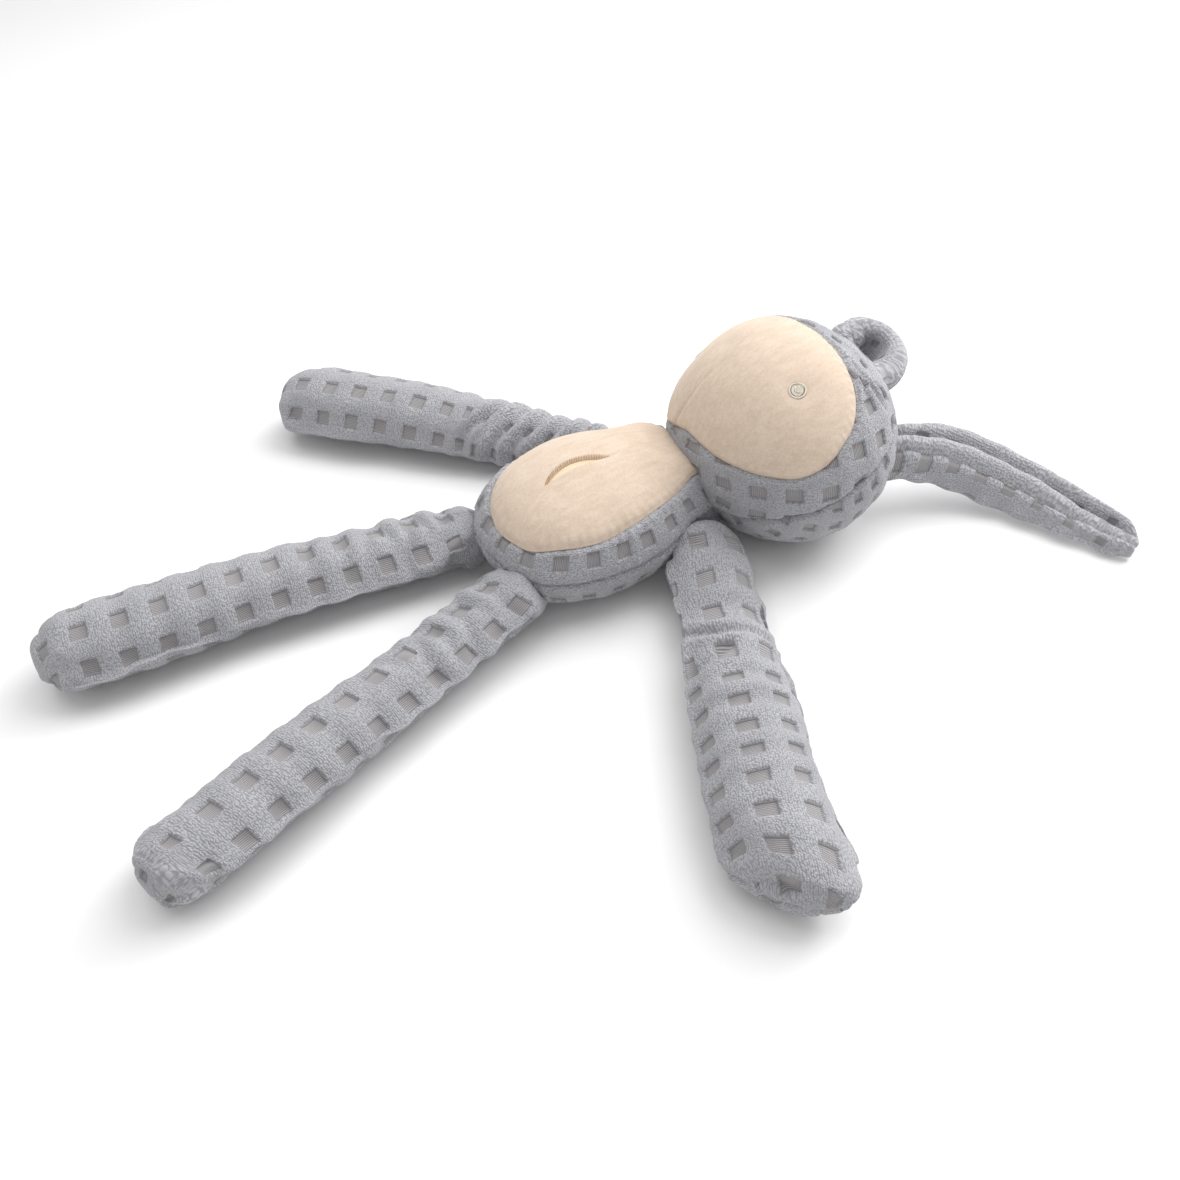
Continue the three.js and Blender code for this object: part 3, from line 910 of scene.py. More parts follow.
def polar_outline(points, angles):
    """The distance of a closed outline from the torso's middle at each angle."""
    fine = spline(points, 900, closed=True) - TORSO_CENTRE
    angle = np.arctan2(fine[:, 1], fine[:, 0]) % (2 * np.pi)
    order = np.argsort(angle)
    return np.interp(angles % (2 * np.pi), angle[order],
                     np.linalg.norm(fine, axis=1)[order], period=2 * np.pi)


def torso_top(xy):
    """The height of the torso's upper skin over a place in plan, and its share of the way out."""
    offset = xy - TORSO_CENTRE
    angle = np.arctan2(offset[..., 1], offset[..., 0])
    share = np.linalg.norm(offset, axis=-1) / polar_outline(TORSO_OUTLINE, angle)
    rise = TORSO_RISE * chest(xy) * np.sqrt(
        np.clip(1 - np.clip(share, 0, 1) ** TORSO_POWER, 0, 1))
    return TORSO_SEAM_Z + rise, share


def chest(xy):
    """The chest stands a little higher than the tummy."""
    return 1 + 0.03 * ease(xy[..., 1], -30, 40)


class TorsoRays:
    """The torso's outlines on rays from its middle, and places over them."""

    def __init__(self, count):
        self.angles = full_turn(count)
        self.out = polar_outline(TORSO_OUTLINE, self.angles)
        inner = polar_outline(PATCH_OUTLINE, self.angles)
        self.ray = np.stack([np.cos(self.angles), np.sin(self.angles)], -1)
        self.psi_inner = np.arcsin(np.clip((inner / self.out) ** (TORSO_POWER / 2), 0, 1))

    def plan(self, psi):
        share = np.sin(psi) ** (2 / TORSO_POWER)
        return TORSO_CENTRE + self.ray[None] * (self.out[None] * share)[..., None]


def torso_slack():
    """How the torso's cloth puffs between its seams, on a coarse grid of psi and angle."""
    psi = np.linspace(TORSO_POLE_GAP, np.pi - TORSO_POLE_GAP, TORSO_GRID[0])[:, None]
    rays = TorsoRays(TORSO_GRID[1])
    plan = rays.plan(psi)
    lower = np.maximum(np.cos(np.pi - psi), 0) ** 0.9
    z = TORSO_SEAM_Z + np.where(psi < np.pi / 2, TORSO_RISE * np.cos(psi), -TORSO_SEAM_Z * lower)
    grid = np.concatenate([plan, (z + 0 * rays.angles)[..., None]], -1)
    to_side_seam = (psi - np.pi / 2) * rays.out[None]
    to_patch_seam = (psi - rays.psi_inner[None]) * rays.out[None]
    slack = 1 - np.maximum(bell(to_side_seam, 4), bell(to_patch_seam, 4))
    slack = slack * np.where(to_patch_seam < 0, 0.4, 1.0)
    held = np.where(psi > 0.8 * np.pi, 1.0, 0.0) + 0 * slack
    held[0] = 1.0
    normal = outward(grid, grid_normals(grid, wrap=True))
    grid = grid + normal * lumps(grid, *TORSO_LUMPS)[..., None]
    moved = slacken(grid, slack, held, 0.07, 3.0)
    return moved - normal * (moved * normal).sum(-1).mean()


def torso_moved(psi, angle):
    row = (psi - TORSO_POLE_GAP) / (np.pi - 2 * TORSO_POLE_GAP) * (TORSO_GRID[0] - 1)
    row = np.clip(row, 0, TORSO_GRID[0] - 1)
    return sampled(TORSO_SLACK, row, (angle % (2 * np.pi)) / (2 * np.pi) * TORSO_GRID[1])


def outward(base, normals):
    """Turns normals so that they point away from the middle of the grid's body."""
    middle = np.array([TORSO_CENTRE[0], TORSO_CENTRE[1], TORSO_SEAM_Z])
    facing = ((base - middle) * normals).sum(-1)
    return normals * np.where(np.median(facing) < 0, -1.0, 1.0)


TORSO_SLACK = torso_slack()


def slit_and_edge():
    """The slit's two lips as one ring, the patch's edge matched to it, and the slit's middle."""
    front = spline(SLIT_FRONT_LIP, SLIT_STEPS + 1)[:-1]
    back = spline(SLIT_BACK_LIP[::-1], SLIT_STEPS + 1)[:-1]
    lens = np.concatenate([front, back])
    outline = spline(PATCH_OUTLINE, 2000, closed=True)
    start = int(np.argmin(np.abs(outline[:, 0] - 4) + 100 * (outline[:, 1] > 0)))
    outline = np.roll(outline, -start, 0)
    middle = int(np.argmin(np.abs(outline[:, 0] - 2) + 100 * (outline[:, 1] < 0)))
    first = spline(outline[:middle:20], SLIT_STEPS + 1)[:-1]
    second = spline(np.concatenate([outline[middle::20], outline[:1]]), SLIT_STEPS + 1)[:-1]
    centre = 0.5 * (front + back[::-1])
    return lens, np.concatenate([first, second]), np.concatenate([centre, centre[::-1]])


def make_tummy_patch(lens, edge, centre_line):
    """The velour patch, which opens at the slit. Gives the rim that its lips turn down to."""
    t = np.linspace(0, 1, PATCH_ROWS)[:, None, None]
    plan = lens[None] * (1 - t) + edge[None] * t
    z, share = torso_top(plan)
    base = np.concatenate([plan, z[..., None]], -1)
    offset = plan - TORSO_CENTRE
    psi = np.arcsin(np.clip(share, 0, 1) ** (TORSO_POWER / 2))
    moved = torso_moved(psi, np.arctan2(offset[..., 1], offset[..., 0]))
    to_edge = np.linalg.norm(plan - edge[None], axis=-1)
    calm = (1 - 0.8 * ease(to_edge, 0, 12)) * ease(share, 0.12, 0.5)
    normal = -grid_normals(base, wrap=True)
    normal = np.where(normal[..., 2:] < 0, -normal, normal)
    to_slit = np.linalg.norm(plan - lens[None], axis=-1)
    along = np.cumsum(np.linalg.norm(np.diff(edge, axis=0, append=edge[:1]), axis=1))
    h = lumps(base, *PATCH_LUMPS) + seam_dip(to_edge, along[None] + 0 * to_edge, *PATCH_SEAM)
    step = np.arange(2 * SLIT_STEPS)
    middle_of_slit = np.sin(np.pi * (step % SLIT_STEPS) / SLIT_STEPS)[None]
    lip_height = np.where(step >= SLIT_STEPS, BACK_LIP_HEIGHT, FRONT_LIP_HEIGHT)[None]
    lip = lip_height * bell(to_slit - 2.0, 2.4) * middle_of_slit
    h = h + lip - 0.8 * bell(to_slit, 1.1) - 0.5 * bell(to_slit, 5) * (1 - middle_of_slit)
    points = base + moved * calm[..., None] + normal * h[..., None]
    uv = plan / PITCH
    points, uv = skirted(points, uv, normal, ["last"])
    turned_down = []
    for drop, pull in SLIT_TURNS:
        row = points[:1].copy()
        row[0, :, :2] += (centre_line - lens) * pull
        row[0, :, 2] -= drop
        turned_down.append(row)
    points = np.concatenate([*turned_down, points])
    uv = np.concatenate([uv[:1], uv[:1], uv])
    patch = cloth_mesh("tummy_patch_velour", points, uv, VELOUR, wrap=True)
    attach(soft_piece(patch, ["tummy_patch"]), "torso")
    return points[2]


def make_pocket(rim, lens, centre_line):
    """The lining behind the slit: a shallow trough that closes towards its middle."""
    pouch = []
    for d in np.linspace(0, 1, 16):
        row = rim.copy()
        row[:, :2] = lens + (centre_line - lens) * (0.03 + 0.9 * d)
        row[:, 2] = rim[:, 2] - 0.25 - 0.9 * d
        pouch.append(row)
    pouch = np.array(pouch)
    pocket = cloth_mesh("tummy_pocket_lining_cloth", pouch, pouch[..., :2] / PITCH, LINING,
                        wrap=True, pole_last=True, flip=True)
    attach(soft_piece(pocket, ["tummy_pocket_lining"]), "torso")


def make_stitching(rim, lens, centre_line):
    """Overcast stitches over the lip that stands proud, and the thread along its edge."""
    back_rim = rim[SLIT_STEPS:]
    inward = (centre_line - lens)[SLIT_STEPS:]
    stitches = []
    random = np.random.default_rng(5)
    arc = np.linspace(0, 1, 7)[:, None]
    for k in np.linspace(4, SLIT_STEPS - 5, STITCH_COUNT).astype(int):
        out = unit(np.append(-inward[k], 0.0) + [-1e-6, 0, 0])
        lean = np.array([0, random.uniform(0.3, 0.7), 0])
        path = back_rim[k] + out * (arc * 1.9 - 0.3) + lean * arc
        path[:, 2] += 0.95 * np.sin(np.pi * arc[:, 0] * 0.62) - 0.5 * (1 - arc[:, 0]) ** 2
        stitches.append(path)
    edging = back_rim[4:-4:6] + [0, 0, -0.15]
    edging[:, :2] += 0.25 * unit(inward + [1e-6, 0])[4:-4:6]
    stitches.append(edging)
    thread = thread_tube("pocket_slit_stitching", stitches, 0.24, STITCH)
    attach(soft_piece(thread, []), "torso")


def grown(base):
    """How far along its cloth each row of a grid lies from the first one."""
    step = np.linalg.norm(np.diff(base, axis=0), axis=-1)
    return np.concatenate([np.zeros((1, base.shape[1])), np.cumsum(step, 0)])


def sew_torso_panel(name, base, normal, uv, gap, seam_length, moved, seed, turned_in, **poles):
    h = (lumps(base, *TORSO_LUMPS) + terry_height(uv[..., 0], uv[..., 1], seed)
         + seam_dip(gap, seam_length[None] + 0 * gap))
    points = settle(base + moved + normal * h[..., None])
    points, uv = skirted(points, uv, normal, turned_in)
    return cloth_mesh(name, points, uv, TERRY, wrap=True, **poles)


def make_torso_panels():
    """The grey ring round the tummy patch and the back panel, which share the side seam."""
    rays = TorsoRays(TORSO_COLS)
    angles = rays.angles[None]
    side_xy = TORSO_CENTRE + rays.ray * rays.out[:, None]
    seam_length = np.cumsum(np.linalg.norm(np.diff(side_xy, axis=0, append=side_xy[:1]), axis=1))
    seam_length = seam_length - seam_length[0]

    psi_inner = rays.psi_inner[None]
    psi = psi_inner + (np.pi / 2 - psi_inner) * np.linspace(0, 1, RING_ROWS)[:, None]
    plan = rays.plan(psi)
    z = TORSO_SEAM_Z + TORSO_RISE * chest(plan) * np.cos(psi)
    base = np.concatenate([plan, z[..., None]], -1)
    normal = outward(base, grid_normals(base, wrap=True))
    up = grown(base)
    from_side = up[-1:] - up
    uv = np.stack([seam_length[None] + 0 * up, from_side], -1) / PITCH + TORSO_PHASE
    ring = sew_torso_panel("torso_front_panel_terry", base, normal, uv, np.minimum(up, from_side),
                           seam_length, torso_moved(psi, angles + 0 * psi), 62,
                           ["first", "last"])
    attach(soft_piece(ring, ["torso_front_panel"]), "torso")

    psi = np.linspace(np.pi / 2, 0, BACK_ROWS)[:, None] + 0 * angles
    plan = rays.plan(psi)
    z = TORSO_SEAM_Z - (TORSO_SEAM_Z + 0.5) * np.cos(psi) ** 0.9
    base = np.concatenate([plan, z[..., None]], -1)
    normal = outward(base, grid_normals(base, wrap=True))
    normal[-1] = (0, 0, -1)
    down = grown(base)
    uv = np.stack([seam_length[None] + 0 * down, down], -1) / PITCH + BACK_PHASE
    flat = ease(down, 26, 34)[..., None]
    uv = np.where(flat > 0.5, plan / PITCH, uv)
    back = sew_torso_panel("torso_back_panel_terry", base, normal, uv, down, seam_length,
                           torso_moved(np.pi - psi, angles + 0 * psi), 63, ["first"],
                           pole_last=True)
    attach(soft_piece(back, ["torso_back_panel", "torso_stuffing"]),
            "torso")


def make_torso():
    lens, edge, centre_line = slit_and_edge()
    rim = make_tummy_patch(lens, edge, centre_line)
    make_pocket(rim, lens, centre_line)
    make_stitching(rim, lens, centre_line)
    make_torso_panels()


# Limbs

# Distances are from the limb's start. widths: half widths. bow: sideways bend of the centre line.
# flat: height over width. gather: where the cloth's own length lies along the limb. twist: how
# the rows of squares wander round it. phase: their start. shear and skew: their slant, skew only
# near the root. square_less: shrinks the squares everywhere, gathered near the root, and
# plain_tip over that distance from the tip. growth: spare length of the simulated cloth as far
# as slack_to. seam_turn: the side seams' place, in degrees.
# folds: distance, depth, width, slant per radian, middle angle and spread in degrees.
LIMB_DEFAULTS = dict(
    rows_across=True, twist=[(0, 0), (200, 0)], gather=[(-30, -35), (0, 0), (200, 200)],
    shear=0.0, skew=0.0, tip_skew=0.0, square_less=0.0, gathered=0.0, plain_tip=0.0, shorter=0.0,
)
LIMBS = {
    "left_leg": dict(
        joint="left_hip", bend="left_knee", flat=0.93, root_lift=3.5, puff=0.5,
        seam_turn=-34, slack_to=70, growth=0.10, plain_tip=22.0, shorter=4.0,
        widths=[(-20, 13), (0, 16.5), (25, 16.5), (60, 16.5), (100, 17.5), (150, 18.0),
                (200, 17.4)],
        bow=[(-20, 1.0), (0, 3.0), (40, 3.6), (100, 1.2), (160, -0.9), (200, -1.8)],
        phase=(0.15, 0.65), shear=0.2, twist=[(0, 0.08), (200, -0.2)],
        folds=[(9, 1.8, 4, 3, 110, 60), (20, 1.6, 3.5, -3, 70, 55), (31, 1.9, 3.5, 3, 120, 70),
               (42, 1.2, 3.5, -2, 80, 60), (53, 1.8, 4, 4, 130, 70), (66, 1.2, 4, -5, 80, 55),
               (84, 0.9, 5, 5, 110, 50)],
    ),
    "right_leg": dict(
        joint="right_hip", bend="right_knee", flat=0.90, root_lift=3.5, puff=0.4,
        seam_turn=-40, slack_to=75, growth=0.06,
        widths=[(-20, 14), (0, 16), (25, 17), (60, 18.2), (100, 19.8), (150, 20.8), (200, 20.6)],
        bow=[(-20, -5), (0, 1.5), (30, 5.5), (85, 8), (130, 6), (200, 3.5)],
        phase=(0.22, 0.22),
        twist=[(0, 0.42), (40, 0.42), (75, 0.25), (100, 0.1), (150, -0.1), (200, -0.14)],
        folds=[(7, 1.7, 3.2, 3, 100, 80), (16, 1.5, 3, -2, 90, 70), (25, 1.6, 3, 3, 110, 80),
               (34, 1.3, 3.2, -3, 80, 70), (44, 1.4, 3.5, 2, 100, 70), (56, 1.0, 4, -3, 110, 70),
               (70, 0.9, 4, 3, 80, 60)],
    ),
    "left_arm": dict(
        joint="left_shoulder", bend="left_elbow", flat=0.86, root_lift=7.0, puff=0.3,
        seam_turn=2, slack_to=90, growth=0.15, rows_across=False, tip_skew=9.0,
        square_less=-0.12,
        widths=[(-20, 12), (0, 16), (20, 16.5), (50, 17), (70, 19), (110, 21), (150, 21.5),
                (190, 20.5)],
        bow=[(-20, 0), (0, 0), (60, 0.5), (110, 2), (150, 3), (190, 1)],
        phase=(0.0, 0.78),
        gather=[(-30, -20), (0, 6), (4, 9), (26, 26), (45.5, 43), (75, 60), (90, 77), (103, 94),
                (117.6, 111), (129, 128), (142, 145), (157, 162), (172.5, 179), (200, 208)],
        folds=[(5, 1.4, 3.5, 3, 60, 60), (58, 3.2, 2.8, 5, 75, 70), (72, 2.0, 2.8, -9, 70, 50),
               (40, 0.9, 4, 2, 100, 60), (88, 0.8, 4, 4, 100, 50), (102, 0.6, 4, 2, 80, 50),
               (184, 2.4, 2.6, 4, 50, 45)],
    ),
    "right_arm": dict(
        joint="right_shoulder", bend="right_elbow", flat=0.88, root_lift=6.0, puff=0.3,
        seam_turn=-20, slack_to=65, growth=0.04, gathered=0.6, skew=9.0,
        widths=[(-20, 12), (0, 15), (25, 15.5), (50, 17.5), (80, 19.5), (120, 21.5),
                (155, 21.5), (190, 20)],
        bow=[(-20, -12), (-8, -6), (6, 1.5), (30, 5.2), (60, 6.5), (100, 6.3), (140, 4.5),
             (190, 4)],
        phase=(0.5, 0.12),
        gather=[(-30, -68), (11, -17), (23, 0), (35.5, 17), (47.2, 34), (61.5, 51), (73, 66),
                (87.5, 85), (104, 102), (200, 198)],
        folds=[(0, 3.2, 2.6, 9, 90, 90), (11, 3.4, 2.6, 9, 90, 90), (23, 3.6, 2.6, 9, 90, 90),
               (35.5, 3.7, 2.6, 9, 90, 90), (47.2, 3.8, 2.7, 9, 90, 90),
               (61.5, 4.0, 2.8, 10, 90, 80), (76, 1.4, 3.2, 8, 60, 50)],
    ),
}
SIM_STEP = 3.2
SIM_COLS = 36
HIP_IN = 16.0           # distance of a root joint from the limb's start
ROOT_TUCK = 20.0        # how far a limb goes on inside the torso
END_GAP = 0.6           # the simulated grid stops this short of both ends
LIMB_LUMPS = 1.3
LIMB_SEAM = (0.6, 1.2, 0.05)        # depth, width and pucker
LIMB_COLS = int(np.pi * 19 / STEP)  # half way round a limb 19 mm in radius
BEND_BLEND = 20         # distance short of a knee or an elbow that helps place where a limb's upper and lower pieces meet
UP = np.array([0, 0, 1.0])


class Limb:
    """One stuffed sleeve. s runs along it in millimetres and theta goes round it."""

    def __init__(self, name):
        spec = {**LIMB_DEFAULTS, **LIMBS[name]}
        self.spec = spec
        self.flat = spec["flat"]
        root = joint_place(spec["joint"])
        bend = joint_place(spec["bend"])
        self.along = unit(np.append((bend - root)[:2], 0.0))
        self.lateral = np.array([self.along[1], -self.along[0], 0.0])
        self.start = np.append((root - self.along * HIP_IN)[:2], 0.0)
        self.bend_at = (bend - self.start) @ self.along
        nodes = [f"{name}_lower_front_panel", f"{name}_lower_back_panel"]
        self.length = reach(nodes, self.start, self.along) - spec["shorter"]
        self.split = 0.5 * (HIP_IN + 16 + self.bend_at - BEND_BLEND)
        self.seed = 100 + 10 * list(LIMBS).index(name)
        self.slack = self.simulate()

    def direction_out(self, s, theta):
        return unit(self.lateral * (np.cos(theta) * self.flat)[..., None]
                    + UP * np.sin(theta)[..., None]
                    + self.along * (ease(s, self.length - 12, self.length) * 1.5)[..., None])

    def rough_shape(self, s, theta):
        """How far the limb's large lumps and folds stand over its plain surface."""
        fade = ease(self.half_width(s), 2, 9)
        lumpy = lumps(self.surface(s, theta), LIMB_LUMPS, self.seed)
        return (lumpy + self.folds(s, theta)) * fade

    def simulate(self):
        """The folds that slack cloth finds on this limb, on a coarse grid."""
        self.coarse_rows = int((self.length + ROOT_TUCK) / SIM_STEP)
        s = np.linspace(END_GAP - ROOT_TUCK, self.length - END_GAP, self.coarse_rows)[:, None]
        theta = full_turn(SIM_COLS)[None]
        s, theta = s + 0 * theta, theta + 0 * s
        out = self.direction_out(s, theta)
        grid = self.surface(s, theta) + out * self.rough_shape(s, theta)[..., None]
        loose = 0.15 + 0.85 * (1 - ease(s, self.spec["slack_to"] - 15, self.spec["slack_to"] + 15))
        held = np.where((s < -6) | (s > self.length - 5), 1.0, 0.0)
        moved = slacken(grid, loose, held, self.spec["growth"], 4.0)
        moved = moved - moved.mean(1, keepdims=True)
        ring_mean = (moved * out).sum(-1).mean(1, keepdims=True)
        return moved - out * (0.8 * ring_mean)[..., None]

    def half_width(self, s):
        body = through(s, self.spec["widths"])
        tip = through(self.length, self.spec["widths"])
        reach_in = np.clip((s - (self.length - 1.05 * tip)) / (1.05 * tip), 0, 1)
        root_in = np.clip((-4.0 - s) / (ROOT_TUCK - 4.0), 0, 1)
        closed = np.clip(1 - reach_in**2.4, 0, 1) * np.clip(1 - root_in**2.4, 0, 1)
        return body * closed ** (1 / 1.9)

    def centre_line(self, s):
        bow = through(s, self.spec["bow"])
        return self.start + s[..., None] * self.along + bow[..., None] * self.lateral

    def surface(self, s, theta):
        half = self.half_width(s)
        full = through(s, self.spec["widths"])
        rise = half * self.flat
        lift = self.spec["root_lift"] * (1 - ease(s, -12, 45))
        rest_z = self.flat * full - 0.6 + lift
        near_tip = ease(s, self.length - 45, self.length) * half / full
        forward = -self.spec["tip_skew"] * near_tip * np.cos(theta)
        return (self.centre_line(s) + self.lateral * (half * np.cos(theta))[..., None]
                + self.along * forward[..., None]
                + UP * (rest_z + rise * np.sin(theta))[..., None])

    def rows(self):
        """Places along the limb for the rows of its mesh, evenly spaced over its outline."""
        fine = np.linspace(-ROOT_TUCK, self.length, 4000)
        arc = path_length(np.stack([fine, self.half_width(fine)], -1))
        count = int(arc[-1] / STEP)
        return np.interp(np.linspace(0, arc[-1], count), arc, fine)

    def folds(self, s, theta):
        """The height of the folds: valleys that wander round the limb, with a swell beside each."""
        total = np.zeros_like(s)
        for at, depth, width, slant, middle, spread in self.spec["folds"]:
            turn = (theta - math.radians(middle) + np.pi) % (2 * np.pi) - np.pi
            d = s - at - slant * np.sin(turn) - 1.3 * np.sin(3 * turn + at)
            window = bell(turn, math.radians(spread)) * 0.8 + 0.2
            valley = -bell(d, width)
            swell = 0.5 * (bell(d - 1.9 * width, 1.3 * width) + bell(d + 1.9 * width, 1.3 * width))
            total = total + depth * window * (valley + swell)
        return total

    def cloth_place(self, s, th, travel, arc, middle):
        """Where the cloth's squares lie, in repeats along the limb and round it."""
        spec = self.spec
        skew = spec["skew"] * np.sin(th - np.pi / 2) * (1 - ease(s, 55, 80))
        u = through(travel[:, None] - skew, spec["gather"]) / PITCH + spec["phase"][0]
        v = arc * (th - middle) / PITCH + spec["phase"][1]
        v = v + through(travel, spec["twist"])[:, None]
        u = u + spec["shear"] * (v - 1.0)
        plain_tip = spec["plain_tip"]
        to_end = self.length - s
        less = spec["square_less"] + 0.7 * (1 - ease(to_end, plain_tip - 8, plain_tip))
        in_gathers = spec["gathered"] * (1 - ease(s, 60, 82))
        v = resized(v, less + 0.5 * in_gathers)
        u = resized(u, np.maximum(in_gathers, less) if plain_tip else in_gathers)
        return u, v

    def panel(self, side, s_rows):
        """The front or back half of the sleeve, from its root to its tip."""
        turn = math.radians(self.spec["seam_turn"])
        theta = np.linspace(0, np.pi, LIMB_COLS) + (0 if side == "front" else np.pi) - turn
        s = s_rows[:, None] + 0 * theta[None]
        th = theta[None] + 0 * s
        base = self.surface(s, th)
        middle = np.pi / 2 if side == "front" else 1.5 * np.pi
        half = self.half_width(s)
        arc = half * math.sqrt((1 + self.flat**2) / 2)
        top = self.surface(s[:, :1], np.full_like(s[:, :1], middle))[:, 0]
        travel = path_length(top)
        travel = travel - np.interp(0, s_rows, travel)
        u, v = self.cloth_place(s, th, travel, arc, middle)
        to_tip = (travel[-1] - travel)[:, None] + 0 * th
        gap = np.minimum(arc * np.minimum(th - theta[0], theta[-1] - th), to_tip)
        normal = self.direction_out(s, th)
        seed = self.seed + (0 if side == "front" else 5)
        fade = ease(half, 2, 9) * ease(gap, 0.0, 2.5)
        h = self.rough_shape(s, th) + terry_height(u, v, seed, self.spec["puff"]) * fade
        h = h + seam_dip(gap, travel[:, None] + 0 * th, *LIMB_SEAM)
        share = (s - END_GAP + ROOT_TUCK) / (self.length - 2 * END_GAP + ROOT_TUCK)
        row = np.clip(share, 0, 1) * (self.coarse_rows - 1)
        base = base + sampled(self.slack, row, th / (2 * np.pi) * SIM_COLS)
        points = settle(base + normal * h[..., None])
        place = (v, u) if self.spec["rows_across"] else (u, v)
        return points, np.stack(place, -1), normal


def make_limb(name):
    limb = Limb(name)
    rows = limb.rows()
    cut = int(np.argmin(np.abs(rows - limb.split)))
    for side in ("front", "back"):
        points, uv, normal = limb.panel(side, rows)
        for part, chosen in (("upper", slice(0, cut + 1)), ("lower", slice(cut, None))):
            p, t, n = points[chosen].copy(), uv[chosen], normal[chosen]
            p, t = skirted(p, t, n, ["left", "right"], 1.6)
            thing = cloth_mesh(f"{name}_{part}_{side}_terry", p, t, TERRY,
                               pole_first=(part == "upper"), pole_last=(part == "lower"),
                               flip=True)
            nodes = [f"{name}_{part}_{side}_panel"]
            if side == "front":
                nodes.append(f"{name}_{part}_stuffing")
            soft_piece(thing, nodes)
            if part == "upper":
                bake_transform(thing)
            else:
                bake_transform(thing)


# Ears

LEFT_EAR_ROUTE = [(48, 150, 38), (55, 166, 36), (66, 187, 29), (88, 207, 19), (117, 218, 12),
                  (149, 230, 7.5)]
RIGHT_EAR_ROUTE = [(1.5, 150.0, 53), (-5.5, 163, 57), (-5.5, 174.5, 60), (2.5, 179.5, 60),
                   (13, 177.5, 58), (20, 169.5, 56.5), (20.5, 159.5, 55), (15.5, 151, 54)]

EAR_ROWS, EAR_COLS = 230, 76


def frames_along(route, across, count):
    """Points along a route, the directions up and to the side there, and its length."""
    centre = spline(route, count)
    tangent = unit(np.gradient(centre, axis=0))
    up = unit(np.cross(np.asarray(across, float), tangent))
    side = np.cross(tangent, up)
    length = np.linalg.norm(np.diff(centre, axis=0), axis=1).sum()
    return centre, up, side, length


def make_ear(name, route, across, half_width, shape, padding, square_less, seed):
    """Two layers of terry sewn round their edge, shaped along a route."""
    centre, up, side, length = frames_along(route, across, EAR_ROWS)
    t = np.linspace(0, 1, EAR_ROWS)
    quarter = np.pi / 2 * 0.98
    v = np.sin(np.linspace(-quarter, quarter, EAR_COLS)) / math.sin(quarter)
    T, V = t[:, None] + 0 * v[None], v[None] + 0 * t[:, None]
    width = through(t, half_width)[:, None]
    end = np.clip((t - 0.88) / 0.12, 0, 1)[:, None]
    width = width * np.sqrt(np.clip(1 - end**2.2, 0, 1))
    sideways, lift = shape(T, V, width)
    middle = centre[:, None] + side[:, None] * sideways[..., None] + up[:, None] * lift[..., None]
    normal = grid_normals(middle)
    normal = normal * np.where(((normal * up[:, None]).sum(-1)).mean() < 0, -1.0, 1.0)
    less = through(t, square_less)[:, None]
    u = resized(T * length / PITCH + 0.15, less)
    w = resized(V * through(t, half_width)[:, None] * 1.25 / PITCH, less)
    padding = through(t, padding)[:, None]
    rim = np.minimum(width * (1 - np.abs(V)), (1 - T) * length)
    inwards = np.clip(rim / np.maximum(3.0, 0.9 * padding), 0, 1)
    thick = padding * np.sqrt(np.clip(1 - (1 - inwards) ** 2, 0, 1))
    for layer, sign in (("inner", 1), ("outer", -1)):
        rough = terry_height(u, w, seed + sign) * 0.8 + lumps(middle, 0.7, seed + 3)
        h = rough * ease(rim, 0.3, 3.0)
        points = settle(middle + normal * (sign * np.maximum(h + thick, 0.02))[..., None])
        thing = cloth_mesh(f"{name}_{layer}_layer_terry", points, np.stack([u, w], -1), TERRY,
                           flip=(sign > 0))
        soft_piece(thing, [f"{name}_{layer}_layer"])
        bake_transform(thing)


def left_ear_shape(t, v, width):
    """Long ridges over the far half; the near half droops as a band with a scalloped edge."""
    ridges = (2.8 * np.cos(2 * np.pi * (1.5 * v + 0.2 - 0.1 * np.sin(4 * t)))
              * ease(-v, -0.45, -0.1) * (1 - 0.7 * ease(t, 0.6, 0.95)))
    crease = -2.2 * bell(v - 0.12 - 0.12 * np.sin(3 * t), 0.09) * (1 - ease(t, 0.85, 1.0))
    droop = -15.0 * ease(v, 0.1, 1.1) * (1 - 0.55 * ease(t, 0.45, 0.85))
    curl = 5.5 * ease(-v, 0.35, 1.0) * ease(t, 0.5, 0.85) * (1 - ease(t, 0.93, 1.0))
    scallop = 1.1 * np.cos(2 * np.pi * t * 6.5) * ease(v, 0.5, 1.0)
    gather = 1.8 * np.cos(2 * np.pi * 2.2 * v) * (1 - ease(t, 0.05, 0.22))
    slim = through(t, [(0, 0.0), (0.12, -0.22), (0.3, -0.42), (0.5, -0.42), (0.75, -0.38),
                       (1, -0.4)])
    band = 1 + slim * ease(v, 0.0, 0.8)
    sideways = width * v * band * (1 - 0.16 * ease(-v, 0.3, 1.0) * ease(t, 0.5, 0.9))
    return sideways + scallop * 0.8, ridges + crease + droop + curl + gather


def right_ear_shape(t, v, width):
    """A strip standing on its long edge, leaning out a little at its upper rim."""
    lean = 1.6 * ease(v, -0.2, 1.0) - 1.0 * ease(-v, 0.0, 1.0)
    ripple = 0.9 * np.cos(2 * np.pi * (0.8 * v + 0.1 + 1.7 * t)) * (1 - 0.5 * ease(t, 0.3, 0.7))
    ribs = 0.9 * np.cos(2 * np.pi * (11 * t + 0.15 * np.sin(3 * v))) * (1 - ease(t, 0.22, 0.38))
    return width * v, lean + ripple + ribs


# Floor, light and camera

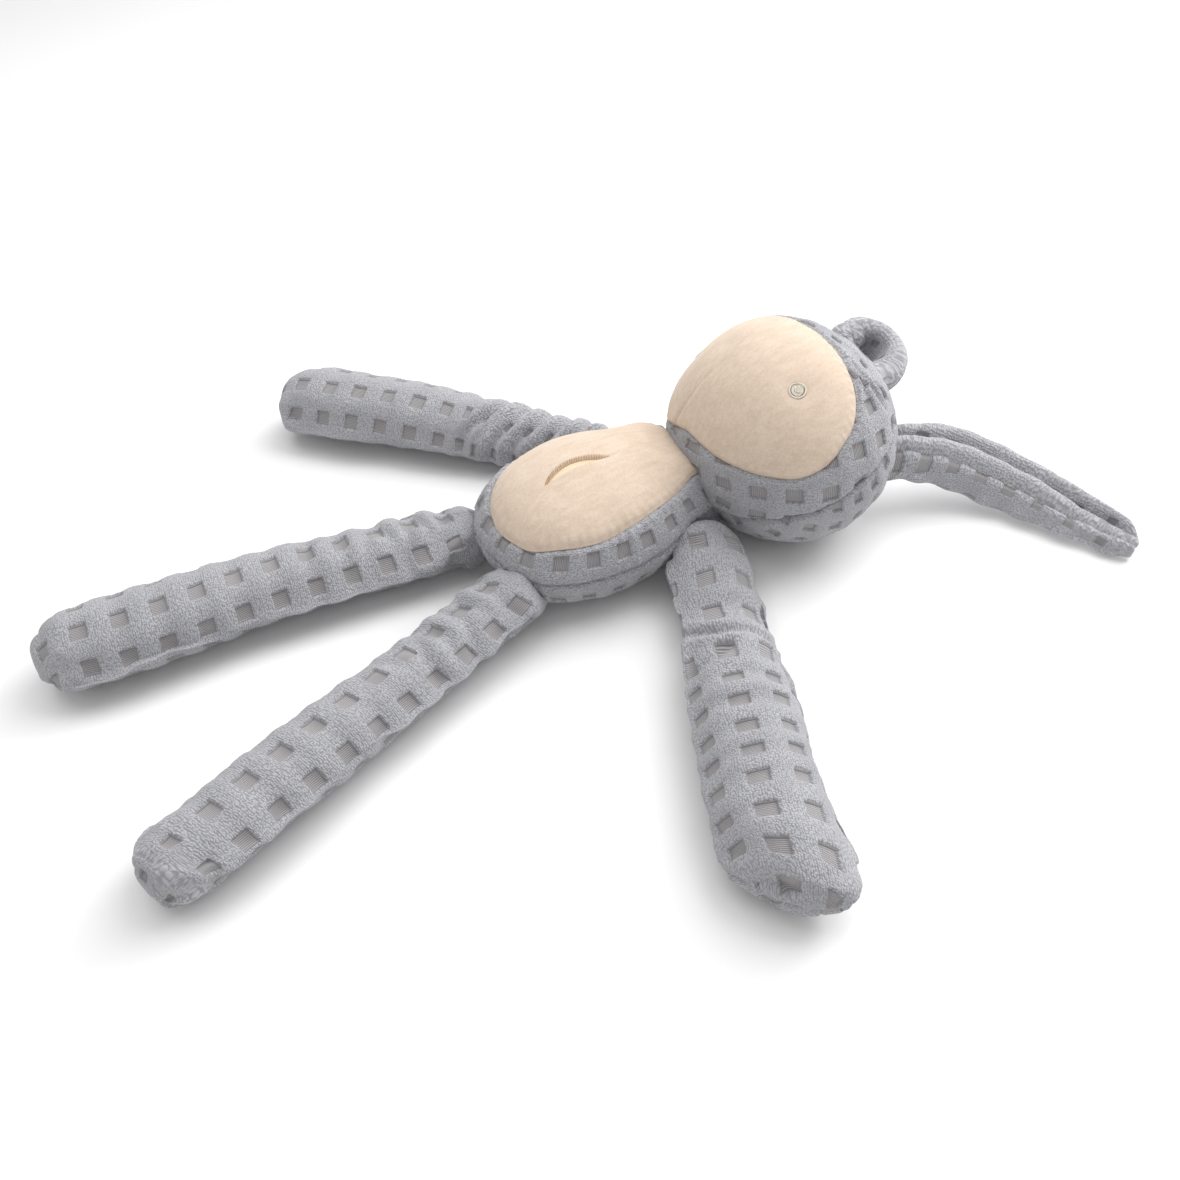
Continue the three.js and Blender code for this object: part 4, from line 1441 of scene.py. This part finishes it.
def make_floor():
    size, cells = 4.0, 8
    ticks = np.linspace(-size, size, cells + 1)
    points = [(x, y, 0.0) for y in ticks for x in ticks]
    faces = []
    for row in range(cells):
        for col in range(cells):
            a = row * (cells + 1) + col
            faces.append((a, a + 1, a + cells + 2, a + cells + 1))
    mesh = bpy.data.meshes.new("floor")
    mesh.from_pydata(points, [], faces)
    material, tree, shader = new_material("pale_floor")
    n = Nodes(tree)
    place = n.add("ShaderNodeTexCoord").outputs["Object"]
    grain = n.add("ShaderNodeTexNoise", {"Vector": place, "Scale": 3.0, "Detail": 2.0})
    colour = n.mix(grain.outputs[0], (0.90, 0.90, 0.90, 1), (0.92, 0.92, 0.92, 1))
    tree.links.new(colour, shader.inputs["Base Color"])
    shader.inputs["Roughness"].default_value = 0.9
    shader.inputs["Specular IOR Level"].default_value = 0.1
    mesh.materials.append(material)
    floor = add_object("floor", mesh)


CAMERA_PLACE = (341.8, -200.0, 373.2)
CAMERA_HEADING = (-0.857, 0.515)
CAMERA_ELEVATION = math.radians(45)
CAMERA_ROLL = math.radians(-1.3)
FOCAL_SHARE = 1080 / 1180      # focal length over the width of the picture


def make_camera():
    data = bpy.data.cameras.new("camera")
    data.sensor_width = 36
    data.lens = 36 * FOCAL_SHARE
    data.clip_start, data.clip_end = 0.01, 20
    camera = add_object("camera", data)
    heading = unit(CAMERA_HEADING)
    forward = Vector((*(heading * math.cos(CAMERA_ELEVATION)), -math.sin(CAMERA_ELEVATION)))
    turn = forward.to_track_quat("-Z", "Y").to_matrix().to_4x4()
    camera.matrix_world = (
        Matrix.Translation(Vector(to_row(CAMERA_PLACE))) @ turn @ Matrix.Rotation(CAMERA_ROLL, 4, "Z")
    )
    bpy.context.scene.camera = camera


def area_light(name, place, size, power):
    """A round soft light that looks at the toy."""
    data = bpy.data.lights.new(name, "AREA")
    data.shape = "DISK"
    data.size = size
    data.energy = power
    light = add_object(name, data)
    light.location = place
    light.rotation_euler = (LIGHT_TARGET - place).to_track_quat("-Z", "Y").to_euler()


LIGHT_TARGET = Vector((0, 0, 0.03))
WORLD_STRENGTH = 0.57
# Distances behind the toy, to the picture's left and up, in metres, then size and watts
LIGHTS = {
    "key": (0.45, -0.62, 1.05, 1.2, 12.0),
    "top": (0.1, 0.3, 1.4, 1.2, 6.0),
    "rim": (0.75, -0.9, 0.55, 0.9, 7.0),
}


def make_light():
    world = bpy.data.worlds.new("studio")
    world.use_nodes = True
    background = world.node_tree.nodes["Background"]
    background.inputs[0].default_value = (1.0, 1.0, 1.0, 1)
    background.inputs[1].default_value = WORLD_STRENGTH
    bpy.context.scene.world = world
    back = Vector((CAMERA_HEADING[0], CAMERA_HEADING[1], 0))
    left = Vector((-CAMERA_HEADING[1], CAMERA_HEADING[0], 0))
    for name, (behind, leftwards, height, size, power) in LIGHTS.items():
        area_light(name, back * behind + left * leftwards + Vector((0, 0, height)), size, power)
    bpy.context.scene.view_settings.view_transform = "Standard"


make_head()
left_eye, left_outline = make_eye("left_eye_embroidery_thread", 1)
right_eye, right_outline = make_eye("right_eye_embroidery_thread", -1)
for thing, node in ((left_eye, "left_eye_embroidery"), (right_eye, "right_eye_embroidery")):
    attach(soft_piece(thing, [node]), "head")
for thing in (left_outline, right_outline):
    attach(soft_piece(thing, []), "head")
make_torso()
for limb_name in LIMBS:
    make_limb(limb_name)
make_ear("left_ear", LEFT_EAR_ROUTE, (0.62, -0.78, 0),
         [(0, 9), (0.12, 13), (0.35, 19.5), (0.6, 17.5), (0.85, 12.5), (1, 10)], left_ear_shape,
         [(0, 2.3), (1, 2.3)], [(0, 0.0), (0.5, 0.0), (0.65, 0.55), (1, 0.6)], 201)
make_ear("right_ear", RIGHT_EAR_ROUTE, (0.39, 0.12, 0.91),
         [(0, 14), (0.15, 15.5), (0.4, 16), (0.7, 15), (1, 14)], right_ear_shape,
         [(0, 7.5), (0.28, 8.0), (0.45, 5.6), (0.6, 5.0), (0.8, 8.0), (1, 8.5)],
         [(0, 0.55), (1, 0.55)], 211)
make_floor()
make_light()
make_camera()
